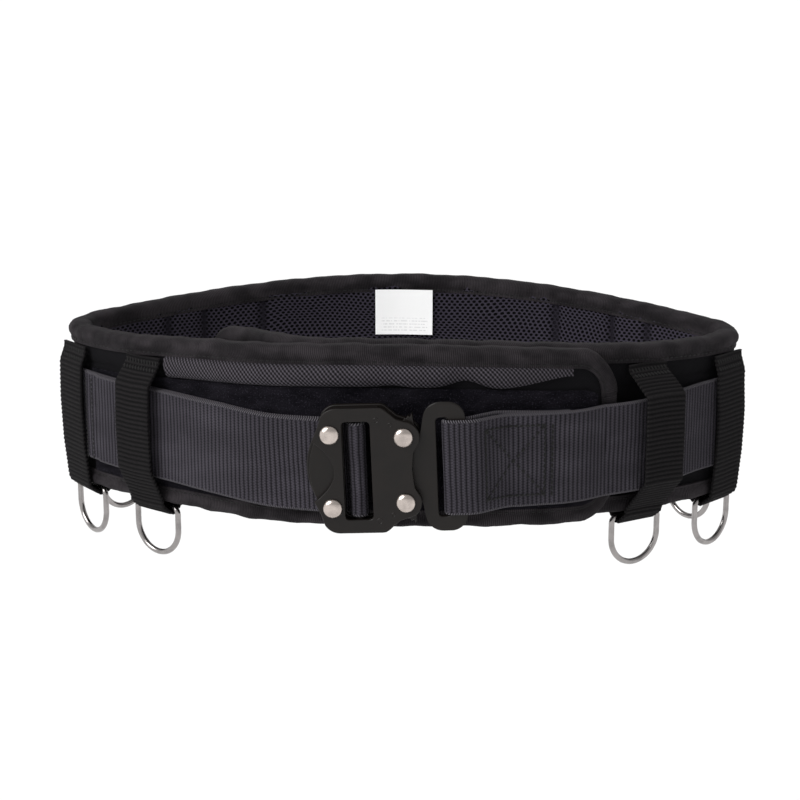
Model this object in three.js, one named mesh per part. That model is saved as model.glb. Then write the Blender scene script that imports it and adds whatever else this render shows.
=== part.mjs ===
// Padded tool belt, closed round an empty waist, with a side-release metal buckle at the front.
// Millimetres, +Z up, -Y is the front. The origin is the centre of the waist opening, at the
// middle of the webbing's width. +X is the wearer's left, where the buckle's tongue comes out.
import * as THREE from 'three';

// ---------- driving dimensions ----------
const WEBBING_WIDTH = 50;
const WEBBING_THICKNESS = 2.2;
const WEBBING_SLACK = 7; // along the belt, where it comes down off the outer end
const GAP = 0.3; // air left between pieces that touch

const PLAN_HALF_LENGTH = 182.5; // mid-thickness of the pad, along X
const PLAN_HALF_DEPTH = 99.5; // mid-thickness of the pad, along Y
const PLAN_TIP_RADIUS = 28; // at the wearer's sides

const PAD_THICKNESS = 10;
const PAD_END_THICKNESS = 6.5;
const PAD_TAPER = 35;
const PAD_TOP_FRONT = 60; // the top edge, at the middle of the front
const PAD_TOP_BACK = 54.5; // the top edge, at the middle of the back
const PAD_TOP_SIDE = 46.5; // the top edge, at the wearer's sides
const PAD_BOTTOM_FRONT = -35.5; // the bottom edge, at the middle of the front and back
const PAD_BOTTOM_SIDE = -43; // the bottom edge, at the wearer's sides
const PAD_CORNER = 22;
const OUTER_END_X = 112; // where the end that lies outside stops
const INNER_END_X = -122; // where the end that lies inside would stop if it lay flat
const TAIL_END_X = -166; // where the webbing's folded tail stops
const OVERLAP_LIFT = 12.5; // how far the outer end stands in front of the inner one
const INNER_END_SPRING = 32; // how far the inner end springs away from the front
const SPRING_START = 100; // from the inner end, where it starts to spring away
const SPRING_RAMP = 85;

const COVER = 1.0;
const LINING = 1.8;
const BINDING = 0.9;
const BINDING_HEIGHT = 9;
const FUZZY_PANEL = 0.8;
const PATCH = [-22, 22]; // the touch fastener's foot and head
const PATCH_RUN = [12, 88]; // along the strip, from its end
const ROLL_HEIGHT = 11.5;
const ROLL_PROUD = 4.2;

const LOOP_WIDTH = 25;
const LOOP_THICKNESS = 2;
const LOOP_X = [-131, 131, -176, 176, -167, 167, -75, 75];
const LOOP_SLACK = [4, 4, 1.5, 1.5, 1.5, 1.5, 2.5, 2.5]; // how loosely each stands over the webbing
const LOOP_IN_FRONT = [true, true, true, true, false, false, false, false];
const LOOP_NAMES = [
  'front_right', 'front_left', 'side_right', 'side_left',
  'rear_right', 'rear_left', 'back_right', 'back_left',
];

const RING_WIRE = 1.6; // radius
const RING_HALF_WIDTH = 15.4; // to the middle of the wire
const RING_BAR_DROP = 3; // below the pad's bottom edge
const RING_HEIGHT = 27.5; // from the bar to the foot of the bow, middle to middle of the wire

const BUCKLE_TILT = THREE.MathUtils.degToRad(2.3); // its tongue's side is the higher one
const PLATE = 2.8; // each of the buckle's two plates
const PLATE_SPACE = 5.6; // between the plates
const BUCKLE_HALF_HEIGHT = 33;
const LABEL = [18.5, 45]; // from its foot to its head
const LABEL_THICKNESS = 0.3;
const SLOT = [-21.1, -6.7]; // along X
const SLOT_HALF_HEIGHT = 25.9;
const REAR_RIVET = [-27.3, 19.4];
const PIVOT_RIVET = [10.1, 17.2];
const RIVET_RADIUS = 2.8;
const RIVET_HEAD_RADIUS = 5;
const ADJUSTER_BAR_X = -13.9;
const ADJUSTER_BAR_RADIUS = 2.2;
const TONGUE_THICKNESS = 3;
const TONGUE_SLOT = [26.5, 32.6];
const TONGUE_END = 40.6;
const LEVER_THICKNESS = 4.8;

// ---------- colours: name, roughness, metalness ----------
const finishes = {
  blackFabric: [0x17171a, 0.9, 0],
  blackTape: [0x1c1c1e, 0.8, 0],
  foam: [0x2a2a2c, 0.95, 0],
  airMesh: [0x24242c, 0.9, 0],
  fuzzy: [0x101013, 1, 0],
  webbing: [0x3a3b42, 0.8, 0],
  label: [0xe8e8e6, 0.7, 0],
  blackMetal: [0x2a2724, 0.45, 0.6],
  nickel: [0xc9c6c0, 0.25, 1],
  springSteel: [0x9a9a9a, 0.35, 1],
};

const belt = new THREE.Group();
belt.name = 'tool_belt';

const buckle = new THREE.Group();
buckle.rotation.y = -BUCKLE_TILT;
belt.add(buckle);

function add(name, finish, geometry, parent = belt) {
  const [color, roughness, metalness] = finishes[finish];
  const material = new THREE.MeshStandardMaterial({ color, roughness, metalness });
  const mesh = new THREE.Mesh(geometry, material);
  mesh.name = name;
  parent.add(mesh);
  return mesh;
}

// ---------- the plan: an oval of four arcs, two tight ones at the wearer's sides ----------
const tipCentre = PLAN_HALF_LENGTH - PLAN_TIP_RADIUS;
const longRadius = (tipCentre ** 2 + PLAN_HALF_DEPTH ** 2 - PLAN_TIP_RADIUS ** 2)
  / (2 * (PLAN_HALF_DEPTH - PLAN_TIP_RADIUS));
const longAngle = Math.atan2(tipCentre, longRadius - PLAN_HALF_DEPTH);
const longLength = longRadius * longAngle;
const tipLength = PLAN_TIP_RADIUS * (Math.PI / 2 - longAngle);
const quarter = longLength + tipLength;
const PERIMETER = 4 * quarter;

// A point on the oval. s is the length along it from the middle of the front, towards +X, and
// off is how far outside it the point lies.
function planPoint(s, off) {
  const along = ((s % PERIMETER) + PERIMETER) % PERIMETER;
  const side = Math.floor(along / quarter);
  const fromMiddle = side % 2 === 0 ? along - side * quarter : (side + 1) * quarter - along;
  const onTip = fromMiddle > longLength;
  const angle = onTip
    ? longAngle + (fromMiddle - longLength) / PLAN_TIP_RADIUS
    : fromMiddle / longRadius;
  const radius = (onTip ? PLAN_TIP_RADIUS : longRadius) + off;
  const x = radius * Math.sin(angle) + (onTip ? tipCentre : 0);
  const y = radius * Math.cos(angle) - (onTip ? 0 : longRadius - PLAN_HALF_DEPTH);
  const toRight = side < 2 ? 1 : -1;
  const toBack = side === 1 || side === 2 ? 1 : -1;
  return new THREE.Vector2(toRight * x, toBack * y);
}

// The length along the oval's front at which its x is the one given.
function frontLength(x) {
  const onTip = Math.abs(x) > longRadius * Math.sin(longAngle);
  const angle = onTip
    ? Math.asin((Math.abs(x) - tipCentre) / PLAN_TIP_RADIUS)
    : Math.asin(Math.abs(x) / longRadius);
  const length = onTip ? longLength + (angle - longAngle) * PLAN_TIP_RADIUS : angle * longRadius;
  return Math.sign(x) * length;
}

const smooth = (t) => {
  const u = Math.min(1, Math.max(0, t));
  return u * u * (3 - 2 * u);
};

// ---------- solids from rings of points ----------
// Each ring is a closed outline of THREE.Vector3, the same number in each. closed joins the last
// ring to the first; otherwise both ends are capped.
function loft(rings, closed = false) {
  const count = rings[0].length;
  const points = rings.flat();
  const faces = [];
  const last = closed ? rings.length : rings.length - 1;
  for (let i = 0; i < last; i += 1) {
    const next = (i + 1) % rings.length;
    for (let j = 0; j < count; j += 1) {
      const a = i * count + j;
      const b = i * count + ((j + 1) % count);
      const c = next * count + ((j + 1) % count);
      const d = next * count + j;
      faces.push([a, b, c], [a, c, d]);
    }
  }
  if (!closed) {
    const start = capFaces(rings[0]);
    faces.push(...start.map(([a, b, c]) => [c, b, a]));
    const base = (rings.length - 1) * count;
    faces.push(...start.map(([a, b, c]) => [a + base, b + base, c + base]));
  }
  return solid(points, faces);
}

// Triangles that fill one outline, wound the way that the outline runs.
function capFaces(outline) {
  const normal = new THREE.Vector3();
  outline.forEach((p, i) => {
    const q = outline[(i + 1) % outline.length];
    normal.add(new THREE.Vector3().crossVectors(p, q));
  });
  const across = new THREE.Vector3().subVectors(outline[1], outline[0]).normalize();
  const up = new THREE.Vector3().crossVectors(normal.normalize(), across);
  const flat = outline.map((p) => new THREE.Vector2(p.dot(across), p.dot(up)));
  return THREE.ShapeUtils.triangulateShape(flat, []);
}

function solid(points, faces) {
  let volume = 0;
  for (const [a, b, c] of faces) {
    volume += points[a].dot(new THREE.Vector3().crossVectors(points[b], points[c]));
  }
  const geometry = new THREE.BufferGeometry().setFromPoints(points);
  const index = volume > 0 ? faces.flat() : faces.flatMap(([a, b, c]) => [a, c, b]);
  geometry.setIndex(index);
  return geometry;
}

// A flat outline in X and Z, pulled along -Y from the plane y = back.
function plate(outline, holes, back, thickness) {
  const shape = new THREE.Shape(outline);
  shape.holes = holes.map((hole) => new THREE.Path(hole));
  const geometry = new THREE.ExtrudeGeometry(shape, { depth: thickness, bevelEnabled: false });
  geometry.rotateX(Math.PI / 2);
  geometry.translate(0, back, 0);
  return geometry;
}

// Points of an arc about (x, z), from one angle to another in degrees.
function arc(x, z, radius, from, to, steps) {
  const points = [];
  for (let i = 0; i <= steps; i += 1) {
    const angle = THREE.MathUtils.degToRad(from + ((to - from) * i) / steps);
    points.push(new THREE.Vector2(x + radius * Math.cos(angle), z + radius * Math.sin(angle)));
  }
  return points;
}

const point = (x, z) => new THREE.Vector2(x, z);
const circle = (x, z, radius) => arc(x, z, radius, 0, 330, 11);
const rectangle = ([x0, x1], half) => [
  point(x0, -half), point(x1, -half), point(x1, half), point(x0, half),
];
// The upper half of an outline, then the same points mirrored below.
const mirrored = (upper) => [
  ...upper,
  ...upper.filter((p) => Math.abs(p.y) > 0.01).reverse().map((p) => point(p.x, -p.y)),
];

// ---------- the pad: one padded strip, from its outer end round the waist to its inner end ----
const outerEndLength = frontLength(OUTER_END_X);
const innerEndLength = -frontLength(INNER_END_X);
const STRIP = outerEndLength + PERIMETER + innerEndLength;
const along = (t) => outerEndLength - t; // length on the oval, from length on the strip

const endTaper = (t) => smooth(t / PAD_TAPER);
const thickness = (t) => PAD_END_THICKNESS
  + (PAD_THICKNESS - PAD_END_THICKNESS) * Math.min(endTaper(t), endTaper(STRIP - t));
const lift = (t) => OVERLAP_LIFT * (1 - smooth((t - outerEndLength - 45) / 80));
const spring = (t) => INNER_END_SPRING * smooth((t - STRIP + SPRING_START) / SPRING_RAMP);
const innerFace = (t) => lift(t) - spring(t) - PAD_THICKNESS / 2;
const outerFace = (t) => innerFace(t) + thickness(t);

function cornerCut(t) {
  const fromEnd = Math.min(t, STRIP - t, PAD_CORNER);
  return PAD_CORNER - Math.sqrt(PAD_CORNER ** 2 - (PAD_CORNER - Math.max(0, fromEnd)) ** 2);
}
// The pad's edges before its corners are cut. Both are level at the front, sides and back.
function topLine(t) {
  const turn = Math.cos((2 * Math.PI * along(t)) / PERIMETER);
  const middle = turn > 0 ? PAD_TOP_FRONT : PAD_TOP_BACK;
  return PAD_TOP_SIDE + (middle - PAD_TOP_SIDE) * turn ** 2;
}
function bottomLine(t) {
  const turn = Math.cos((2 * Math.PI * along(t)) / PERIMETER);
  return PAD_BOTTOM_SIDE + (PAD_BOTTOM_FRONT - PAD_BOTTOM_SIDE) * turn ** 2;
}
const top = (t) => topLine(t) - cornerCut(t);
const bottom = (t) => bottomLine(t) + cornerCut(t);

// Lengths along the strip, close together round the wearer's sides and at the strip's own ends.
function stations(from, to) {
  const marks = new Set([from, to]);
  for (const t of [1, 4, 9, 15, 22, 35, 50]) {
    marks.add(t);
    marks.add(STRIP - t);
  }
  const steps = Math.round(STRIP / 19);
  for (let i = 0; i <= steps; i += 1) marks.add((STRIP * i) / steps);
  for (const middle of [outerEndLength + quarter, outerEndLength + 3 * quarter]) {
    for (let k = -3.5; k <= 3.5; k += 1) marks.add(middle + (k * 2 * tipLength) / 7);
  }
  const sorted = [...marks].filter((t) => t >= from && t <= to).sort((a, b) => a - b);
  return sorted.filter((t, i) => i === 0 || t === to || (t - sorted[i - 1] > 3 && to - t > 1)
    || t < 10 || t > STRIP - 10);
}

// A solid that follows the strip. section(t) gives its outline as pairs of offset and z.
function follow(from, to, section) {
  return loft(stations(from, to).map((t) => section(t).map(([off, z]) => {
    const p = planPoint(along(t), off);
    return new THREE.Vector3(p.x, p.y, z);
  })));
}

const slab = (near, far, low, high) => (t) => [
  [near(t), low(t)], [far(t), low(t)], [far(t), high(t)], [near(t), high(t)],
];

function makePad() {
  const edge = BINDING + GAP;
  const low = (t) => bottom(t) + edge;
  const high = (t) => top(t) - edge;
  const layers = [
    ['pad_mesh_lining', 'airMesh', (t) => innerFace(t), (t) => innerFace(t) + LINING],
    ['pad_foam_core', 'foam', (t) => innerFace(t) + LINING + GAP, (t) => outerFace(t) - COVER - GAP],
    ['pad_outer_cover', 'blackFabric', (t) => outerFace(t) - COVER, (t) => outerFace(t)],
  ];
  for (const [name, finish, near, far] of layers) {
    add(name, finish, follow(edge, STRIP - edge, slab(near, far, low, high)));
  }

  // The edge tape is folded over the pad's rim: a channel, open towards the pad.
  const channel = (rim, inward) => (t) => {
    const near = innerFace(t) - GAP;
    const far = outerFace(t) + GAP;
    const mouth = rim(t) + inward * BINDING_HEIGHT;
    const floor = rim(t) + inward * BINDING;
    return [
      [near - BINDING, mouth], [near - BINDING, rim(t)], [far + BINDING, rim(t)],
      [far + BINDING, mouth], [far, mouth], [far, floor], [near, floor], [near, mouth],
    ];
  };
  add('edge_binding_top', 'blackTape', follow(0, STRIP, channel(top, -1)));
  add('edge_binding_bottom', 'blackTape', follow(0, STRIP, channel(bottom, 1)));
  makeEndBinding('edge_binding_outer_end', 0, 1);
  makeEndBinding('edge_binding_inner_end', STRIP, -1);
}

// The tape round one end of the strip, between the rounded corners.
function makeEndBinding(name, end, inward) {
  const near = innerFace(end) - GAP;
  const far = outerFace(end) + GAP;
  const mouth = end + inward * 8;
  const outline = [
    [mouth, near - BINDING], [end, near - BINDING], [end, far + BINDING],
    [mouth, far + BINDING], [mouth, far], [end + inward * BINDING, far],
    [end + inward * BINDING, near], [mouth, near],
  ];
  const drift = (t, off) => off + (innerFace(t) + outerFace(t) - innerFace(end) - outerFace(end)) / 2;
  const low = bottom(end) + BINDING_HEIGHT + GAP;
  const high = top(end) - BINDING_HEIGHT - GAP;
  const ring = (z) => outline.map(([t, off]) => {
    const p = planPoint(along(t), drift(t, off));
    return new THREE.Vector3(p.x, p.y, z);
  });
  add(name, 'blackTape', loft([ring(low), ring(high)]));
}

// ---------- what is sewn on the pad ----------
function makePadTrim() {
  // The padded roll above the webbing, which runs to a point short of the outer end.
  const rollFrom = outerEndLength - frontLength(85);
  const rollTo = outerEndLength - frontLength(-117);
  const rollSize = (t) => 0.12 + 0.88 * smooth((t - rollFrom) / 45);
  const roll = (t) => {
    const face = outerFace(t) + GAP;
    const high = top(t) - BINDING_HEIGHT - GAP;
    const size = rollSize(t);
    return [[0, 1], [0.71, 0.88], [1, 0.5], [0.71, 0.09], [0, 0]].map(([proud, drop]) => [
      face + ROLL_PROUD * proud * size, high - ROLL_HEIGHT * drop * size,
    ]);
  };
  add('front_padded_roll', 'blackFabric', follow(rollFrom, rollTo, roll));

  // The fuzzy panel behind the webbing.
  const panelFrom = 12;
  const panelTo = outerEndLength - frontLength(TAIL_END_X);
  const panel = slab(
    (t) => outerFace(t) + GAP,
    (t) => outerFace(t) + GAP + FUZZY_PANEL,
    (t) => bottom(t) + BINDING_HEIGHT + 1,
    (t) => top(t) - BINDING_HEIGHT - ROLL_HEIGHT - 1,
  );
  add('loop_fastener_panel', 'fuzzy', follow(panelFrom, panelTo, panel));

  // The two halves of the touch fastener that holds the pad's ends together.
  const low = () => PATCH[0];
  const high = () => PATCH[1];
  const hook = slab((t) => innerFace(t) - GAP - FUZZY_PANEL, (t) => innerFace(t) - GAP, low, high);
  const pile = slab((t) => outerFace(t) + GAP, (t) => outerFace(t) + GAP + FUZZY_PANEL, low, high);
  const [from, to] = PATCH_RUN;
  add('overlap_hook_patch', 'fuzzy', follow(from, to, hook));
  add('overlap_pile_patch', 'fuzzy', follow(from + PERIMETER, to + PERIMETER, pile));

  // The care label on the inside of the back.
  const middle = outerEndLength + 2 * quarter;
  const label = slab(
    (t) => innerFace(t) - GAP - LABEL_THICKNESS, (t) => innerFace(t) - GAP,
    () => LABEL[0], () => LABEL[1],
  );
  add('care_label', 'label', follow(middle - 22, middle + 14, label));
}

// ---------- webbing ----------
// The webbing turns with the buckle where it meets it, and lies level again past it.
function tilted(x, y, z) {
  const share = y < -PLAN_HALF_DEPTH ? 1 - smooth((Math.abs(x) - 42) / 50) : 0;
  const slope = share * Math.tan(BUCKLE_TILT);
  return new THREE.Vector3(x - z * slope, y, z + x * slope);
}

// A band of webbing whose middle follows a path in plan.
function band(path, width) {
  const half = WEBBING_THICKNESS / 2;
  return loft(path.map((p, i) => {
    const before = path[Math.max(0, i - 1)];
    const after = path[Math.min(path.length - 1, i + 1)];
    const inward = before === p ? new THREE.Vector2() : p.clone().sub(before).normalize();
    const outward = after === p ? new THREE.Vector2() : after.clone().sub(p).normalize();
    const way = inward.clone().add(outward).normalize();
    const mitre = i > 0 && i < path.length - 1 ? 1 / Math.max(0.75, way.dot(outward)) : 1;
    const side = new THREE.Vector2(-way.y, way.x).multiplyScalar(half * mitre);
    const edge = (sign, z) => tilted(p.x + sign * side.x, p.y + sign * side.y, z);
    return [edge(1, -width / 2), edge(-1, -width / 2), edge(-1, width / 2), edge(1, width / 2)];
  }));
}

const webbingOffset = PAD_THICKNESS / 2 + FUZZY_PANEL + 2 * GAP + WEBBING_THICKNESS / 2;
const layerStep = WEBBING_THICKNESS + GAP;
const overlapFront = -(PLAN_HALF_DEPTH + OVERLAP_LIFT + webbingOffset); // y of the inner layer
const tailY = overlapFront - layerStep;
const backPlateBack = tailY - WEBBING_THICKNESS / 2 - GAP;
const spaceBack = backPlateBack - PLATE;
const middleY = spaceBack - PLATE_SPACE / 2;
const frontPlateBack = spaceBack - PLATE_SPACE;

// Where the webbing lies on the wearer's right of the buckle, and on the left of it.
const rightOffset = (s) => webbingOffset + lift(outerEndLength - s - WEBBING_SLACK);
const endRise = OVERLAP_LIFT - PAD_THICKNESS + PAD_END_THICKNESS + BINDING + GAP;
function leftOffset(s) {
  const t = outerEndLength - s;
  const onOuterEnd = Math.max(endRise, OVERLAP_LIFT - PAD_THICKNESS + thickness(Math.max(0, t)));
  return webbingOffset + (t > 0 ? onOuterEnd : endRise * (1 - smooth((-t - 6) / 60)));
}

function range(from, to, step) {
  const count = Math.max(1, Math.round(Math.abs(to - from) / step));
  return Array.from({ length: count + 1 }, (unused, i) => from + ((to - from) * i) / count);
}

// The webbing's lengths along the oval between two places, finer round the wearer's sides.
function webbingLengths(from, to) {
  return range(from, to, 9).filter((s, i, all) => {
    const place = ((s % (2 * quarter)) + 2 * quarter) % (2 * quarter);
    const nearTip = Math.abs(place - quarter) < tipLength + 8;
    return nearTip || i % 2 === 0 || i === all.length - 1;
  });
}

function makeWebbing() {
  const joinLength = frontLength(104);
  const rightSide = frontLength(-46);
  const onto = (s, extra = 0) => planPoint(s, (s > 0 ? leftOffset(s) : rightOffset(s)) + extra);

  // From beside the buckle's tongue, round the back, to the adjuster bar and over it, and back
  // to the folded end of the tail.
  const round = webbingLengths(joinLength + GAP, PERIMETER + rightSide)
    .map((s) => onto(s > quarter ? s - PERIMETER : s));
  const turn = ADJUSTER_BAR_RADIUS + GAP + WEBBING_THICKNESS / 2;
  const aroundBar = arc(ADJUSTER_BAR_X, middleY, turn, 0, -180, 8);
  const tail = webbingLengths(rightSide, frontLength(TAIL_END_X)).map((s) => onto(s, layerStep));
  add('belt_webbing', 'webbing', band([
    ...round,
    new THREE.Vector2(-30, overlapFront),
    new THREE.Vector2(ADJUSTER_BAR_X + 1.5, overlapFront),
    new THREE.Vector2(ADJUSTER_BAR_X + turn - 0.6, overlapFront - 1.4),
    ...aroundBar,
    new THREE.Vector2(ADJUSTER_BAR_X - turn - 0.9, tailY - 1.3),
    new THREE.Vector2(ADJUSTER_BAR_X - turn - 3, tailY),
    new THREE.Vector2(-34, tailY),
    ...tail,
  ], WEBBING_WIDTH));

  // The short strap that is looped round the tongue's bar and sewn to itself.
  const barLeft = TONGUE_SLOT[1];
  const wrap = TONGUE_THICKNESS / 2 + GAP + WEBBING_THICKNESS / 2;
  const sewnEnd = frontLength(86);
  const sewn = (s, extra) => planPoint(s, leftOffset(s) + extra);
  add('buckle_strap', 'webbing', band([
    ...range(sewnEnd, frontLength(52), 9).map((s) => sewn(s, 0)),
    new THREE.Vector2(TONGUE_END + 4, middleY + wrap + 2.2),
    new THREE.Vector2(TONGUE_END - 1, middleY + wrap),
    ...arc(barLeft + 0.4, middleY, wrap, 90, 270, 8),
    new THREE.Vector2(TONGUE_END + 1, middleY - wrap),
    new THREE.Vector2(TONGUE_END + 6, middleY - wrap + 1.2),
    ...range(frontLength(56), joinLength - 12, 9)
      .map((s) => sewn(s, layerStep + 3 * (1 - smooth((s - frontLength(56)) / 22)))),
    sewn(joinLength, 0),
  ], WEBBING_WIDTH));
}

// ---------- keeper loops and their rings ----------
function makeKeeper(index) {
  const front = frontLength(LOOP_X[index]);
  const s = LOOP_IN_FRONT[index] ? front : 2 * quarter - front;
  const strip = ((outerEndLength - s) % PERIMETER + PERIMETER) % PERIMETER;
  const name = LOOP_NAMES[index];

  const origin = planPoint(s, 0);
  const out = planPoint(s, 1).sub(origin);
  const tangent = new THREE.Vector2(-out.y, out.x);
  const place = (side, off, z) => new THREE.Vector3(
    origin.x + tangent.x * side + out.x * off,
    origin.y + tangent.y * side + out.y * off,
    z,
  );

  const half = LOOP_THICKNESS / 2;
  const onPad = PAD_THICKNESS / 2 + FUZZY_PANEL + 2 * GAP + half;
  const signed = s > 2 * quarter ? s - PERIMETER : s;
  const underLoop = Math.max(...[-LOOP_WIDTH / 2, 0, LOOP_WIDTH / 2]
    .map((side) => (signed > 0 ? leftOffset(signed + side) : rightOffset(signed + side))));
  const overTail = LOOP_IN_FRONT[index] && LOOP_X[index] < 0 && LOOP_X[index] > TAIL_END_X;
  const tailUnder = overTail ? layerStep : 0;
  const onTip = Math.abs(LOOP_X[index]) > 150;
  const innerRadius = (onTip ? PLAN_TIP_RADIUS : longRadius) - PAD_THICKNESS / 2 - BINDING - GAP;
  const flatness = innerRadius - Math.sqrt(innerRadius ** 2 - (LOOP_WIDTH / 2) ** 2);
  const bulge = underLoop + tailUnder + WEBBING_THICKNESS / 2 + GAP + half;
  const low = Math.min(...[-1, 0, 1].map((end) => bottomLine(strip + (end * LOOP_WIDTH) / 2)));
  const bar = low - RING_BAR_DROP;
  const slack = bulge + LOOP_SLACK[index];
  const inside = -(PAD_THICKNESS / 2 + BINDING + 2 * GAP + half + flatness);
  const bend = RING_WIRE + GAP + half;
  const head = topLine(strip) - BINDING_HEIGHT - GAP;
  const path = [
    point(onPad, head), point(onPad, head - 3), point(slack, 27), point(slack + 0.6, 5),
    point(slack, -20), point(onPad + BINDING, low + 3.5), point(onPad + 0.2, low - 0.7),
    ...arc(0, bar, bend, -55, -125, 4), point(inside, low - 0.7), point(inside, -16),
  ];
  const sides = [[], []];
  path.forEach((p, i) => {
    const before = path[Math.max(0, i - 1)];
    const after = path[Math.min(path.length - 1, i + 1)];
    const way = after.clone().sub(before).normalize();
    sides[0].push(point(p.x - way.y * half, p.y + way.x * half));
    sides[1].push(point(p.x + way.y * half, p.y - way.x * half));
  });
  const outline = [...sides[0], ...sides[1].reverse()];
  const ring = (side) => outline.map((p) => place(side, p.x, p.y));
  add(`keeper_loop_${name}`, 'blackTape', loft([ring(-LOOP_WIDTH / 2), ring(LOOP_WIDTH / 2)]));

  makeRing(`d_ring_${name}`, place, bar);
}

// A D-ring: a straight bar in the keeper's fold, and a bow that hangs below it.
function makeRing(name, place, bar) {
  const bowCentre = bar - RING_HEIGHT + RING_HALF_WIDTH;
  const path = [
    point(-RING_HALF_WIDTH + 2.5, bar),
    point(RING_HALF_WIDTH - 2.5, bar),
    point(RING_HALF_WIDTH - 0.7, bar - 0.7),
    point(RING_HALF_WIDTH, bar - 2.5),
    ...arc(0, bowCentre, RING_HALF_WIDTH, 0, -180, 12),
    point(-RING_HALF_WIDTH, bar - 2.5),
    point(-RING_HALF_WIDTH + 0.7, bar - 0.7),
  ];
  const rings = path.map((p, i) => {
    const before = path[(i + path.length - 1) % path.length];
    const after = path[(i + 1) % path.length];
    const way = after.clone().sub(before).normalize();
    return arc(0, 0, RING_WIRE, 0, 300, 5).map((q) => place(
      p.x - way.y * q.x,
      q.y,
      p.y + way.x * q.x,
    ));
  });
  add(name, 'nickel', loft(rings, true));
}

// ---------- the buckle ----------
// The outline shared by both plates, from above the left edge to above the right one.
function plateTop() {
  return [
    point(-33.2, 23.5), ...arc(-24, BUCKLE_HALF_HEIGHT - 9, 9, 150, 90, 4),
    point(-1.5, BUCKLE_HALF_HEIGHT), point(1, BUCKLE_HALF_HEIGHT - 1), point(7, 26.4),
    ...arc(PIVOT_RIVET[0], PIVOT_RIVET[1], 8.2, 80, -35, 6),
    point(14.6, 6), point(14, 0),
  ];
}

function fourHoles(radius) {
  return [REAR_RIVET, PIVOT_RIVET].flatMap(([x, z]) => [
    circle(x, z, radius), circle(x, -z, radius),
  ]);
}

function makeBuckleBody() {
  const holes = [rectangle(SLOT, SLOT_HALF_HEIGHT), ...fourHoles(RIVET_RADIUS + GAP)];
  const rounded = [point(-40.6, 0), point(-39.8, 7), point(-37.5, 14)];
  const bitten = [point(-25.8, 0), point(-27.4, 6.5), point(-31, 11.5), point(-36.6, 16)];
  add('buckle_back_plate', 'blackMetal', plate(
    mirrored([...rounded, ...plateTop()]), holes, backPlateBack, PLATE,
  ), buckle);
  add('buckle_front_plate', 'blackMetal', plate(
    mirrored([...bitten, ...plateTop()]), holes, frontPlateBack, PLATE,
  ), buckle);

  // The spacer between the plates: a C that is open towards the tongue.
  const spacerOuter = [
    point(-38.8, 0), point(-36.4, 13), point(-32.4, 22.5),
    ...arc(-24, BUCKLE_HALF_HEIGHT - 9, 8, 150, 90, 4), point(-3, BUCKLE_HALF_HEIGHT - 1),
  ];
  const spacerInner = [point(-3, 30.2), point(-22.6, 30.2)];
  const outline = mirrored([...spacerOuter, ...spacerInner]);
  const rearHoles = [REAR_RIVET[1], -REAR_RIVET[1]]
    .map((z) => circle(REAR_RIVET[0], z, RIVET_RADIUS + GAP));
  add('buckle_spacer', 'blackMetal', plate(
    outline, rearHoles, spaceBack - GAP, PLATE_SPACE - 2 * GAP,
  ), buckle);

  const bar = new THREE.CylinderGeometry(ADJUSTER_BAR_RADIUS, ADJUSTER_BAR_RADIUS, 59, 16);
  bar.rotateX(Math.PI / 2);
  bar.translate(ADJUSTER_BAR_X, middleY, 0);
  add('adjuster_bar', 'blackMetal', bar, buckle);
}

function makeRivets() {
  const shank = PLATE * 2 + PLATE_SPACE + GAP;
  const profile = [
    point(0, 0.1), point(RIVET_RADIUS, 0.1), point(RIVET_RADIUS, shank),
    point(RIVET_HEAD_RADIUS, shank), point(RIVET_HEAD_RADIUS - 0.2, shank + 0.8),
    point(RIVET_HEAD_RADIUS - 1.3, shank + 1.7), point(2, shank + 2.3), point(0, shank + 2.5),
  ];
  const places = [
    ['rear_upper', REAR_RIVET[0], REAR_RIVET[1]], ['rear_lower', REAR_RIVET[0], -REAR_RIVET[1]],
    ['pivot_upper', PIVOT_RIVET[0], PIVOT_RIVET[1]],
    ['pivot_lower', PIVOT_RIVET[0], -PIVOT_RIVET[1]],
  ];
  for (const [name, x, z] of places) {
    const rivet = new THREE.LatheGeometry(profile, 16);
    rivet.rotateX(Math.PI); // the head, at the end of the profile, faces -Y
    rivet.translate(x, backPlateBack, z);
    add(`rivet_${name}`, 'nickel', rivet, buckle);
  }
}

// A release lever: a hub on its pivot rivet, a ribbed thumb tab outside, and a catch inside.
function makeLever(name, mirror) {
  const [x, z] = PIVOT_RIVET;
  const outline = [
    ...arc(x, z, 5.2, -75, 15, 5),
    point(x + 5.4, z + 5), point(x + 4.6, z + 11.8), point(x + 3.4, z + 9.6),
    point(x + 1.6, z + 10.4), point(x - 0.6, z + 6.8), point(x - 4, z + 4.6),
    point(x - 9.6, z + 1.6), point(x - 10.4, z - 4.6), point(x - 5.6, z - 4.4),
  ].map((p) => point(p.x, mirror * p.y));
  const hole = circle(x, mirror * z, RIVET_RADIUS + GAP);
  add(name, 'blackMetal', plate(
    outline, [hole], middleY + LEVER_THICKNESS / 2, LEVER_THICKNESS,
  ), buckle);
}

// The leaf spring that pushes a lever's catch towards the tongue.
function makeLeverSpring(name, mirror) {
  const wave = [[-2, 29.2], [1.5, 24.4], [5, 23.2]];
  const upper = wave.map(([x, z]) => point(x, mirror * (z + 0.25)));
  const lower = wave.map(([x, z]) => point(x, mirror * (z - 0.25))).reverse();
  add(name, 'springSteel', plate([...upper, ...lower], [], middleY + 1.8, 3.6), buckle);
}

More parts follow.
